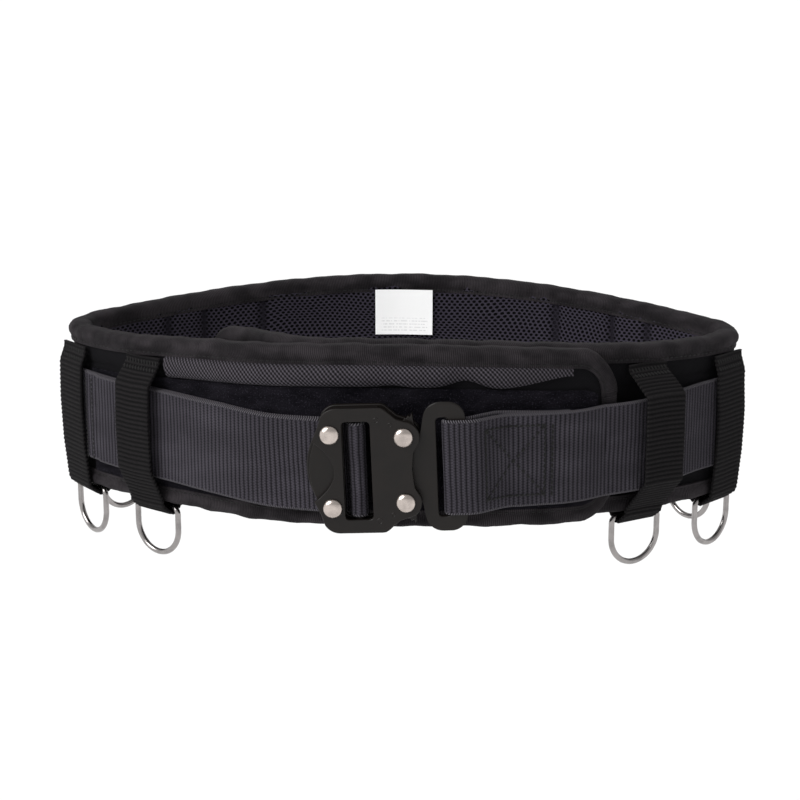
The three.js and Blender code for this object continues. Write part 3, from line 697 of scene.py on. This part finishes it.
def tape_at(line, inward, depth, side, out):
    """Points of the tape, depth in from the rim and out from the pad, on its outer (1) or inner (-1) side."""
    t = line[:, 0] + inward[:, 0] * depth
    z = line[:, 1] + inward[:, 1] * depth
    inside = np.clip(t, 0, STRIP)
    half = thickness(inside) / 2
    middle = inner_face(inside) + half
    return on_strip(t, middle + side * (half + out), z)


def make_tape():
    line, inward, length = border()
    # (depth, side, out): over the rim from the inner leg's edge to the outer leg's edge.
    legs = [
        (9.4, -0.3), (9.3, 0.6), (8.5, 0.75), (7.6, 0.35), (6.9, 0.55),
        (5.6, 1.15), (4.0, 1.45), (2.4, 1.3), (1.0, 0.5),
    ]
    over = [(0.1, -1.0), (-0.35, -2.6)]
    rows = []
    pucker = 0.55 * ripple(length, 21, 13) + 0.35 * ripple(length, 22, 5.5)
    rise = 0.35 * ripple(length, 23, 17)
    for side in (-1, 1):
        leg_rows = []
        own = pucker + 0.4 * ripple(length, 30 + side, 9)
        for depth, out in legs + over:
            swell = smooth((8.6 - depth) / 3) * smooth((depth + 1.5) / 3)
            leg_rows.append((depth + rise * smooth((7 - depth) / 6), side, out + own * swell * 0.75, depth))
        rows += leg_rows if side < 0 else leg_rows[::-1]
    rings = np.stack([tape_at(line, inward, depth, side, out) for depth, side, out, _ in rows], 1)
    across = np.array([nominal * side for _, side, _, nominal in rows])
    place = grid(length[:, None], across, 0.0)
    tape = loft("edge_tape", rings, place, closed=True, sharp=70)
    dress(tape, "edge_tape", replaces=(
        "edge_binding_top", "edge_binding_bottom", "edge_binding_outer_end", "edge_binding_inner_end",
    ))

    # The stitches through both legs.
    total = length[-1]
    marks = np.arange(1.5, total - 1.5, 3.3)
    parts = []
    for side in (-1, 1):
        def at(where, depth, out):
            return tape_at(sample(where, length, line), sample(where, length, inward), depth, side, out)
        centre = at(marks, 7.6, 0.42)
        ways = at(marks + 0.5, 7.6, 0.42) - at(marks - 0.5, 7.6, 0.42)
        outs = at(marks, 7.6, 1.42) - centre
        parts.append(stitch_parts(centre, ways, outs, 2.4, 0.42))
    sew("edge_stitches", parts)


# ---------- what is sewn on the pad ----------
def roll_size(x):
    """How full the front roll is at that place across the front: a pinch, a second bulge, and a point."""
    body = 1 - 0.55 * np.exp(-(((x - 37) / 9) ** 2)) - 0.16 * np.exp(-(((x - 2) / 7) ** 2))
    return body * smooth((89 - x) / 40) ** 0.8


def make_roll():
    t0, t1 = OUTER_END - front_length(ROLL_FROM_X), OUTER_END - front_length(ROLL_TO_X)
    t = np.linspace(t0, t1, 150)
    x = plan(along(t), 0)[:, 0]
    size = np.maximum(roll_size(x), 0.04) * (0.55 + 0.45 * smooth((t1 - t) / 3))
    angle = np.linspace(0, np.pi, 19)
    tall = ROLL_HEIGHT * (0.35 + 0.65 * size)
    high = top_line(t) - BINDING_HEIGHT - 0.1
    z = high[:, None] - tall[:, None] * (1 - np.cos(angle)) / 2
    bulge = ROLL_BULGE * size[:, None] * np.sin(angle) ** 0.75
    wrinkle = 0.35 * ripple(t[:, None], 41, 12, z * 2) * np.sin(angle)
    off = outer_face(t)[:, None] + 0.25 + bulge + wrinkle * size[:, None]
    face = on_strip(t[:, None], off, z)
    arc_length = np.cumsum(np.concatenate([np.zeros((len(t), 1)), np.hypot(np.diff(z), np.diff(off))], 1), 1)
    foot = on_strip(t[:, None], outer_face(t)[:, None] - 0.3, z[:, [-1, 0]])
    place = grid(t[:, None], arc_length, 0.0)
    foot_place = place[:, [-1, 0]]
    roll = loft("front_roll", np.concatenate([face, foot], 1), np.concatenate([place, foot_place], 1))
    dress(roll, "roll_fabric", replaces=("front_padded_roll",))


def sheet_on_pad(name, t0, t1, low, high, near, far, relief, columns=14, step=4.0):
    """A thin layer on one of the pad's faces, between two heights given as functions of t."""
    t = np.linspace(t0, t1, max(8, int((t1 - t0) / step)))
    share = np.linspace(0, 1, columns)
    z = low(t)[:, None] + (high(t) - low(t))[:, None] * share
    tt = np.broadcast_to(t[:, None], z.shape)
    out = far(tt) + relief * ripple(tt, 5, 30, z * 1.5)
    face = on_strip(tt, out, z)
    return sandwich(name, face, on_strip(tt, near(tt), z), grid(tt - t0, z, 0.0))


def make_trim():
    def flat(value):
        return lambda t: np.full(np.shape(t), float(value))

    panel = sheet_on_pad(
        "loop_panel", 12, OUTER_END - front_length(TAIL_END_X),
        lambda t: bottom_line(t) + corner_cut(t) + BINDING_HEIGHT + 0.6,
        lambda t: top_line(t) - corner_cut(t) - BINDING_HEIGHT - ROLL_HEIGHT - 0.5,
        lambda t: outer_face(t) - 0.2, lambda t: outer_face(t) + GAP + 0.5, columns=24, step=2.5, relief=0.3,
    )
    dress(panel, "fuzzy_loop", replaces=("loop_fastener_panel",))
    hook = sheet_on_pad(
        "overlap_hook", *PATCH_RUN, flat(-PATCH_HALF), flat(PATCH_HALF),
        lambda t: inner_face(t) + 0.3, lambda t: inner_face(t) - GAP - FUZZY, relief=0.1,
    )
    dress(hook, "hook_tape", replaces=("overlap_hook_patch",))
    pile = sheet_on_pad(
        "overlap_pile", *[end + PERIMETER for end in PATCH_RUN], flat(-PATCH_HALF), flat(PATCH_HALF),
        lambda t: outer_face(t) - 0.3, lambda t: outer_face(t) + GAP + FUZZY, relief=0.1,
    )
    dress(pile, "fuzzy_loop", replaces=("overlap_pile_patch",))

    middle = OUTER_END + 2 * QUARTER
    low, high = LABEL_Z
    left, right = [middle + side for side in LABEL_SIDES]
    tt, zz = np.meshgrid(np.linspace(left, right, 19), np.linspace(low, high, 15), indexing="ij")
    curl = 1.0 * (1 - smooth((zz - low) / 12)) + 0.25 * np.sin((tt - middle) / 5.0)
    off = inner_face(tt) - 1.9 - curl * 0.5
    front, back = on_strip(tt, off, zz), on_strip(tt, off + 0.28, zz)
    label = sandwich("care_label_cloth", front, back, grid(right - tt, zz - low, 0.0))
    dress(label, "label", replaces=("care_label",))


# ---------- webbing ----------
WEB_OFFSET = PAD / 2 + FUZZY + 2 * GAP + WEBBING / 2
LAYER = WEBBING + GAP
OVERLAP_FRONT = -(HALF_DEPTH + LIFT + WEB_OFFSET)
TAIL_Y = OVERLAP_FRONT - LAYER
BACK_PLATE = TAIL_Y - WEBBING / 2 - GAP
SPACE_BACK = BACK_PLATE - PLATE
MIDDLE_Y = SPACE_BACK - SPACE / 2
FRONT_PLATE = SPACE_BACK - SPACE
END_RISE = LIFT - PAD + PAD_END + BINDING + GAP


def right_offset(s):
    return WEB_OFFSET + lift(OUTER_END - np.asarray(s, float) - WEBBING_SLACK)


def left_offset(s):
    t = OUTER_END - np.asarray(s, float)
    on_end = np.maximum(END_RISE, LIFT - PAD + thickness(np.maximum(0, t)))
    return WEB_OFFSET + np.where(t > 0, on_end, END_RISE * (1 - smooth((-t - 6) / 60)))


def arc(x, y, radius, start, stop, count):
    angle = np.radians(np.linspace(start, stop, count))
    return np.stack([x + radius * np.cos(angle), y + radius * np.sin(angle)], -1)


def eased(path, step, rounds=2):
    """The path with its corners rounded, sampled every step."""
    path = np.asarray(path, float)
    length = run_length(path)
    points = sample(np.linspace(0, length[-1], int(length[-1] / step)), length, path)
    for _ in range(rounds):
        points[1:-1] = 0.5 * points[1:-1] + 0.25 * (points[:-2] + points[2:])
    return points


class Band:
    """Webbing along a path in plan. Places on it are its length along, its height and its side."""

    def __init__(self, path):
        self.path = path
        self.length = run_length(path)
        self.side = right_of(unit(np.gradient(path, axis=0)))

    def at(self, where, z, off):
        where, z, off = np.broadcast_arrays(where, z, off)
        level = sample(where, self.length, self.path) + sample(where, self.length, self.side) * off[..., None]
        return tilted(np.concatenate([level, z[..., None]], -1))

    def parts(self, wobble, fat=None, seed=50):
        half = WEBBING / 2
        fat = np.zeros(len(self.length)) if fat is None else fat
        z, face = section(WEBBING_WIDTH / 2 - 1.0, 1.0, 15, [-60, -30, 0, 30, 60])
        wave = wobble * ripple(self.length[:, None], seed, 45, z[None, :] * 1.2)
        half_here = half + fat[:, None] * 0.5
        off = face[None, :] * half_here + wave + fat[:, None] * 0.5 * np.sign(fat.sum() + 1e-9)
        rings = self.at(self.length[:, None], z[None, :], off)
        place = grid(self.length[:, None], z, face)
        return loft_parts(rings, place)

    def stitches(self, marks, z, off, way_z=0.0, way_along=1.0, length=2.5, radius=0.7):
        centre = self.at(marks, z, off)
        ahead = self.at(marks + 0.5 * way_along, z + 0.5 * way_z, off)
        out = self.at(marks, z, off + math.copysign(1.0, off)) - centre
        return stitch_parts(centre, ahead - centre, out, length, radius)


def make_webbing():
    join, right = front_length(JOIN_X), front_length(TAIL_START_X)
    s = np.arange(join + GAP, PERIMETER + right, 3.0)
    offs = np.where(s > QUARTER, right_offset(s - PERIMETER), left_offset(s))
    round_belt = plan(s, offs)
    turn = BAR_RADIUS + GAP + WEBBING / 2
    tail_s = np.linspace(right, front_length(TAIL_END_X), 45)
    tail = plan(tail_s, right_offset(tail_s) + LAYER)
    path = np.concatenate([
        round_belt,
        [[-30, OVERLAP_FRONT], [BAR_X + 1.5, OVERLAP_FRONT], [BAR_X + turn - 0.6, OVERLAP_FRONT - 1.4]],
        arc(BAR_X, MIDDLE_Y, turn, 0, -180, 13),
        [[BAR_X - turn - 0.9, TAIL_Y - 1.3], [BAR_X - turn - 3, TAIL_Y], [-34, TAIL_Y]], tail,
    ])
    band = Band(eased(path, 1.4, 3))
    total = band.length[-1]
    # The tail's end is folded over and sewn.
    fold = smooth((band.length - total + 11.5) / 1.0)
    fat = -1.3 * fold
    marks_z = np.arange(-22.5, 22.6, 2.6)
    outward = -(WEBBING / 2 + 1.35)
    webbing = make_piece("waist_webbing", *band.parts(fat=fat, wobble=0.2), sharp=60)
    dress(webbing, "webbing", replaces=("belt_webbing",))
    seams = [
        band.stitches(np.full(len(marks_z), total - back), marks_z, outward, 1.0, 0.0, 1.9, 0.45)
        for back in (3.0, 8.5)
    ]
    sew("tail_stitches", seams)


def make_strap():
    join = front_length(JOIN_X)
    wrap = TONGUE / 2 + GAP + WEBBING / 2
    sewn_end = front_length(86)
    bar = TONGUE_SLOT[1]
    back_s = np.linspace(sewn_end, front_length(52), 12)
    front_s = np.linspace(front_length(56), join - 12, 14)
    front_off = left_offset(front_s) + LAYER + 3 * (1 - smooth((front_s - front_length(56)) / 22))
    path = np.concatenate([
        plan(back_s, left_offset(back_s)),
        [[TONGUE_END + 4, MIDDLE_Y + wrap + 2.2], [TONGUE_END - 1, MIDDLE_Y + wrap]],
        arc(bar + 0.4, MIDDLE_Y, wrap, 90, 270, 13),
        [[TONGUE_END + 1, MIDDLE_Y - wrap], [TONGUE_END + 6, MIDDLE_Y - wrap + 1.2]],
        plan(front_s, front_off), plan(np.array([join]), left_offset(np.array([join]))),
    ])
    band = Band(eased(path, 1.2, 2))
    parts = [band.parts(wobble=0.12, seed=61)]

    def length_at(x):
        outer = band.length > band.length[-1] * 0.5
        return float(np.interp(x, band.path[outer, 0], band.length[outer]))

    out = WEBBING / 2 + 0.12
    left, right, high = length_at(50.5), length_at(80.5), 18.5
    for edge in (left, right, length_at(84.5)):
        z = np.arange(-high, high + 0.1, 3.0)
        parts.append(band.stitches(np.full(len(z), edge), z, out, 1.0, 0.0))
    for level in (-high, high):
        marks = np.arange(left + 1.5, right, 3.0)
        parts.append(band.stitches(marks, np.full(len(marks), level), out))
    share = (np.arange(13) + 0.5) / 13
    for sign in (-1, 1):
        parts.append(band.stitches(
            left + (right - left) * share, sign * high * (2 * share - 1), out,
            sign * 2 * high / (right - left), 1.0,
        ))
    strap = make_piece("tongue_strap", *join_parts(parts), sharp=60)
    band_faces = len(parts[0][1])
    for paint in ("webbing", "thread"):
        strap.data.materials.append(PAINTS[paint])
    count = len(strap.data.polygons)
    strap.data.polygons.foreach_set("material_index", [int(k >= band_faces) for k in range(count)])
    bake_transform(strap)
    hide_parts("buckle_strap")


# ---------- keepers and rings ----------
def loop_place(x, in_front):
    front = front_length(x)
    s = front if in_front else 2 * QUARTER - front
    origin = plan(s, 0.0)
    out = plan(s, 1.0) - origin
    return s, origin, out, np.array([-out[1], out[0]])


def make_keeper(index):
    name, x, in_front, slack = LOOPS[index]
    s, origin, out, tangent = loop_place(x, in_front)
    strip = (OUTER_END - s) % PERIMETER
    signed = s - PERIMETER if s > 2 * QUARTER else s
    sides = signed + np.array([-LOOP_WIDTH / 2, 0, LOOP_WIDTH / 2])
    under = float(np.max(left_offset(sides) if signed > 0 else right_offset(sides)))
    tail = LAYER if in_front and TAIL_END_X < x < 0 else 0
    half = LOOP / 2
    on_pad = PAD / 2 + FUZZY + 2 * GAP + half
    inner_radius = (TIP_RADIUS if abs(x) > 150 else LONG_RADIUS) - PAD / 2 - BINDING - GAP
    flatness = inner_radius - math.sqrt(inner_radius**2 - (LOOP_WIDTH / 2) ** 2)
    bulge = under + tail + WEBBING / 2 + GAP + half
    low = float(bottom_line(strip + np.array([-1, 0, 1]) * LOOP_WIDTH / 2).min())
    bar = low - RING_BAR_DROP
    loose = bulge + slack
    head = float(top_line(strip)) - BINDING_HEIGHT - GAP
    inside = -(PAD / 2 + BINDING + 2 * GAP + half + flatness)
    bend = RING_WIRE + GAP + half
    path = np.concatenate([
        [[on_pad, head], [on_pad, head - 3], [loose, 27], [loose + 0.6, 5], [loose, -20]],
        [[on_pad + BINDING, low + 3.5], [on_pad + 0.2, low - 0.7]],
        arc(0, bar, bend, -55, -125, 7), [[inside, low - 0.7], [inside, -16]],
    ])
    path = eased(path, 0.42, 10)
    length = run_length(path)
    way = unit(np.gradient(path, axis=0))
    normal = -right_of(way)
    sewn = 1 - smooth((length - 9) / 3)
    phase = 2 * np.pi * length / 2.5
    rib = (0.24 + 0.24 * np.cos(phase)) * (1 - 0.6 * sewn) - 0.35
    edge = LOOP_WIDTH / 2 - 0.7
    across, face = section(edge, 0.7, 7, [-60, 0, 60])
    face = -face
    skew = 0.5 * ripple(across[None, :], 70 + index, 30) + 0.12 * ripple(length[:, None], 80 + index, 20)
    off = face[None, :] * (half + rib)[:, None]
    level = path[:, None, :] + normal[:, None, :] * off[..., None]
    level = level + way[:, None, :] * (skew * 0.8)[..., None]
    sway = 0.6 * ripple(length, 90 + index, 70) * smooth(length / 20) * smooth((length[-1] - length) / 40)
    side = across[None, :] + sway[:, None]
    rings = np.concatenate([
        origin + tangent * side[..., None] + out * level[..., :1], level[..., 1:],
    ], -1)
    place = grid(length[:, None], across, face)
    keeper = loft(f"keeper_{name}", rings, place, sharp=75)
    dress(keeper, "keeper_webbing", replaces=(f"keeper_loop_{name}",))

    # Bar tacks across the sewn head and above the ring's fold.
    tacks = []
    for height, count in ((3.2, 11), (7.4, 11), (float(length[-1]) - 4.0, 11)):
        marks = np.linspace(-edge + 1.2, edge - 1.2, count)
        k = int(np.argmin(np.abs(length - height)))
        base = path[k] + normal[k] * (half - 0.12)
        plan_x, plan_y = origin[:, None] + tangent[:, None] * marks + out[:, None] * base[0]
        centres = np.stack([plan_x, plan_y, np.full(count, base[1])], -1)
        outs = np.array([*(out * normal[k][0]), normal[k][1]])
        ways = np.array([*(tangent * 0.35 + out * way[k][0]), way[k][1]])
        tacks.append(stitch_parts(centres, [ways] * count, [outs] * count, 2.6, 0.5))
    sew(f"keeper_tacks_{name}", tacks)
    make_ring(name, origin, out, tangent, bar)


def make_ring(name, origin, out, tangent, bar):
    corner = 3.2
    bow = bar - RING_HEIGHT + RING_HALF
    path = np.concatenate([
        [[-RING_HALF + corner, bar], [0, bar]],
        arc(RING_HALF - corner, bar - corner, corner, 90, 0, 8),
        arc(0, bow, RING_HALF, 0, -180, 48),
        arc(-RING_HALF + corner, bar - corner, corner, 180, 90, 8)[:-1],
    ])
    normal = -right_of(unit(np.roll(path, -1, 0) - np.roll(path, 1, 0)))
    angle = np.radians(np.arange(0, 360, 22.5))
    flat = path[:, None, :] + normal[:, None, :] * (RING_WIRE * np.cos(angle))[None, :, None]
    off = np.broadcast_to(RING_WIRE * np.sin(angle), flat.shape[:2])
    rings = np.concatenate([
        origin + tangent * flat[..., :1] + out * off[..., None], flat[..., 1:],
    ], -1)
    place = np.zeros(rings.shape)
    ring = loft(f"ring_bow_{name}", rings, place, closed=True, sharp=80)
    dress(ring, "ring_steel", body=f"ring_{name}", replaces=(f"d_ring_{name}",))


# ---------- the buckle ----------
# Stands a drawing in plan upright, facing the front.
UPRIGHT = Matrix(((1, 0, 0, 0), (0, 0, -1, 0), (0, 1, 0, 0), (0, 0, 0, 1)))


def rounded(points, radius, steps):
    """The closed outline with each corner rounded."""
    points = np.asarray(points, float)
    made = []
    for k, p in enumerate(points):
        a, b = points[k - 1] - p, points[(k + 1) % len(points)] - p
        reach_a, reach_b = min(radius, np.linalg.norm(a) * 0.45), min(radius, np.linalg.norm(b) * 0.45)
        start, stop = p + a / np.linalg.norm(a) * reach_a, p + b / np.linalg.norm(b) * reach_b
        for share in np.linspace(0, 1, steps):
            made.append((1 - share) ** 2 * start + 2 * share * (1 - share) * p + share**2 * stop)
    return np.array(made)


def plate(name, outline, holes, back, thick, bevel):
    """A bevelled plate of that outline in X and Z, from the plane y = back towards the front."""
    curve = bpy.data.curves.new(name, "CURVE")
    curve.dimensions = "2D"
    curve.fill_mode = "BOTH"
    for line in [outline, *holes]:
        spline = curve.splines.new("POLY")
        spline.points.add(len(line) - 1)
        for point, (x, z) in zip(spline.points, line):
            point.co = (x, z, 0, 1)
        spline.use_cyclic_u = True
    curve.extrude = thick / 2 - bevel
    curve.bevel_depth = bevel
    curve.bevel_resolution = 2
    curve.offset = -bevel
    holder = stand(name + "_curve", curve)
    bpy.context.view_layer.update()
    mesh = bpy.data.meshes.new_from_object(holder.evaluated_get(bpy.context.evaluated_depsgraph_get()))
    bpy.data.objects.remove(holder)
    mesh.name = name
    mesh.transform(Matrix.Translation((0, back - thick / 2, 0)) @ UPRIGHT)
    mesh.transform(Matrix.Rotation(-TILT, 4, "Y"))
    mesh.transform(Matrix.Scale(0.001, 4))
    shade(mesh, 35)
    return stand(name, mesh)


def mirrored(upper):
    upper = np.asarray(upper, float)
    lower = upper[np.abs(upper[:, 1]) > 0.01][::-1] * [1, -1]
    return np.concatenate([upper, lower])


def rivet_hole(x, z):
    return arc(x, z, RIVET_RADIUS + GAP, 0, 360 - 360 / 28, 28)


def revolved(profile, x, z, count=36):
    """A turned piece. profile is (radius, distance in front of the back plate's back)."""
    angle = np.linspace(0, 2 * np.pi, count, endpoint=False)
    profile = np.asarray(profile, float)
    px = x + profile[:, :1] * np.cos(angle)
    pz = z + profile[:, :1] * np.sin(angle)
    py = np.broadcast_to(BACK_PLATE - profile[:, 1:], px.shape)
    c, s = math.cos(TILT), math.sin(TILT)
    rings = np.stack([px * c - pz * s, py, px * s + pz * c], -1)
    return loft_parts(rings, np.zeros(rings.shape))


def plate_top():
    return np.concatenate([
        [[-33.2, 23.5]], arc(-24, BUCKLE_HALF - 9, 9, 150, 90, 10),
        [[-2.2, BUCKLE_HALF], [-0.6, BUCKLE_HALF - 0.2], [1, BUCKLE_HALF - 1.1], [5.4, 28.0], [6.6, 26.9]],
        arc(PIVOT_RIVET[0], PIVOT_RIVET[1], 8.2, 84, -35, 16), [[15.0, 9.4], [14.4, 5], [14, 0]],
    ])


def slot_hole(sides, half, radius=2.6):
    x0, x1 = sides
    return rounded([[x0, -half], [x1, -half], [x1, half], [x0, half]], radius, 7)


def make_buckle():
    rivet_holes = [rivet_hole(x, sign * z) for x, z in (REAR_RIVET, PIVOT_RIVET) for sign in (1, -1)]
    holes = [slot_hole(SLOT, SLOT_HALF), *rivet_holes]
    angle = np.linspace(0, 1, 9)
    left_round = np.stack([-40.6 + 3.1 * angle**2, 14 * angle], -1)
    bite = np.stack([-25.8 - 10.8 * angle**2, 16 * angle], -1)
    whole = mirrored(np.concatenate([left_round, plate_top()]))
    back = plate("buckle_back", whole, holes, BACK_PLATE, PLATE, 0.55)
    dress(back, "black_metal", replaces=("buckle_back_plate",))
    bitten = mirrored(np.concatenate([bite, plate_top()]))
    front = plate("buckle_front", bitten, holes, FRONT_PLATE, PLATE, 0.5)
    dress(front, "black_metal", replaces=("buckle_front_plate",))

    outer = np.concatenate([
        [[-38.8, 0], [-38.0, 7], [-36.4, 13], [-32.4, 22.5]],
        arc(-24, BUCKLE_HALF - 9, 8, 150, 90, 8),
        [[-3, BUCKLE_HALF - 1], [-3, 30.2], [-22.6, 30.2], [-22.6, 0]],
    ])
    upper = outer[:-1]
    outline = np.concatenate([upper, upper[1:][::-1] * [1, -1]])
    spacer = plate("buckle_core", outline, rivet_holes[:2], SPACE_BACK - GAP / 2, SPACE - GAP, 0.3)
    dress(spacer, "black_metal", replaces=("buckle_spacer",))

    tongue_top = np.concatenate([
        [[-4, 0], [-4, 8], [-3.3, 10.6], [-1.5, 11.5], [2, 11.5], [3.3, 10.8], [4.6, 8.5]],
        [[12, 8.5], [15.5, 9.8], [18, 14], [19.6, 20], [20.6, 26]],
        arc(28.6, BUCKLE_HALF - 8, 8, 168, 90, 10),
        arc(TONGUE_END - 8, BUCKLE_HALF - 8, 8, 84, 5, 10), [[TONGUE_END, 0]],
    ])
    strap_slot = slot_hole(TONGUE_SLOT, SLOT_HALF + 0.2, 2.4)
    tongue = plate("tongue_plate", mirrored(tongue_top), [strap_slot], MIDDLE_Y + TONGUE / 2, TONGUE, 0.7)
    dress(tongue, "black_metal", body="tongue", replaces=("buckle_tongue",))

    x, z = PIVOT_RIVET
    lever = np.concatenate([
        arc(x, z, 5.2, -75, 15, 9),
        np.array([x, z]) + [
            [5.4, 5], [4.9, 9.4], [4.6, 11.8], [3.5, 9.9], [2.6, 10.6], [1.6, 9.2], [0.9, 9.6],
            [-0.6, 6.8], [-4, 4.6], [-9.6, 1.6], [-10.4, -4.6], [-5.6, -4.4],
        ],
    ])
    for side, sign in (("upper", 1), ("lower", -1)):
        piece = plate(
            f"lever_{side}_plate", lever * [1, sign], [rivet_hole(x, sign * z)],
            MIDDLE_Y + LEVER / 2, LEVER, 0.35,
        )
        dress(piece, "black_metal", body=f"lever_{side}", replaces=(f"release_lever_{side}",))

    shank = PLATE * 2 + SPACE + GAP
    turn = np.radians(np.linspace(12, 90, 12))
    dome = np.stack([RIVET_HEAD * np.cos(turn), shank + 2.5 * np.sin(turn)], -1)
    profile = np.concatenate([
        [[0.01, 0.1], [RIVET_RADIUS, 0.1], [RIVET_RADIUS, shank - 0.02]],
        [[RIVET_HEAD - 0.15, shank + 0.02], [RIVET_HEAD, shank + 0.3]],
        dome[:-1], [[0.25, shank + 2.5]],
    ])
    for row, (rx, rz) in (("rear", REAR_RIVET), ("pivot", PIVOT_RIVET)):
        for side, sign in (("upper", 1), ("lower", -1)):
            rivet = make_piece(f"rivet_dome_{row}_{side}", *revolved(profile, rx, sign * rz), sharp=50)
            dress(rivet, "nickel", replaces=(f"rivet_{row}_{side}",))

    # Small peened marks on the front plate.
    face = PLATE * 2 + SPACE
    parts = []
    for mx, mz, size in ((-3.4, 26.6, 1.25), (3.6, 24.0, 1.0), (-3.4, -26.6, 1.35), (3.6, -23.4, 0.95)):
        lip = ((-0.35, -0.2), (-0.2, 0.05), (0, 0.14), (0.2, 0.05), (0.35, -0.2))
        ring = [[size + across, face + up] for across, up in lip]
        parts.append(revolved(ring, mx, mz, 24))
    dress(make_piece("peened_marks", *join_parts(parts)), "black_metal")

    kept = {
        "adjuster_bar": "black_metal",
        "lever_spring_upper": "spring_steel", "lever_spring_lower": "spring_steel",
    }
    for node, paint in kept.items():
        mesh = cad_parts[node].data
        mesh.materials.clear()
        mesh.materials.append(PAINTS[paint])


make_pad()
make_tape()
make_roll()
make_trim()
make_webbing()
make_strap()
for number in range(len(LOOPS)):
    make_keeper(number)
make_buckle()


# ---------- floor, light and camera ----------
def make_stage():
    reach, level = 20000, -600
    floor = make_piece(
        "floor", [[x * reach, y * reach, level] for x, y in ((-1, -1), (1, -1), (1, 1), (-1, 1))],
        [[0, 1, 2, 3]],
    )
    p = Paint("floor", rough=0.9, specular=0.1)
    floor.data.materials.append(p.finish(linear(250, 250, 250)))

    # A studio dome: white at the horizon, dimmer overhead.
    world = bpy.data.worlds.new("studio")
    bpy.context.scene.world = world
    world.use_nodes = True
    tree = world.node_tree
    back = tree.nodes["Background"]
    coordinates = tree.nodes.new("ShaderNodeTexCoord")
    parts = tree.nodes.new("ShaderNodeSeparateXYZ")
    ramp = tree.nodes.new("ShaderNodeMapRange")
    for socket, value in (("From Min", 0.18), ("From Max", 0.4), ("To Min", 1.0), ("To Max", 0.5)):
        ramp.inputs[socket].default_value = value
    tree.links.new(coordinates.outputs["Generated"], parts.inputs[0])
    tree.links.new(parts.outputs[2], ramp.inputs["Value"])
    tree.links.new(ramp.outputs[0], back.inputs[1])
    back.inputs[0].default_value = (1, 1, 1, 1)

    sun = bpy.data.lights.new("key", "SUN")
    sun.energy = 2.7
    sun.angle = math.radians(40)
    lamp = stand("key", sun)
    lamp.rotation_euler = Vector((0.85, 0.6, -0.85)).to_track_quat("-Z", "Y").to_euler()


def make_camera():
    camera = bpy.data.cameras.new("camera")
    camera.lens = 89.88
    camera.sensor_width = 36
    camera.clip_start, camera.clip_end = 0.01, 100
    holder = stand("camera", camera)
    holder.location = (0.06772, -1.10012, 0.29373)
    holder.rotation_euler = (math.pi / 2 - 0.2591, 0, 0.0620)
    bpy.context.scene.camera = holder


make_stage()
make_camera()
bpy.context.scene.view_settings.view_transform = "Standard"
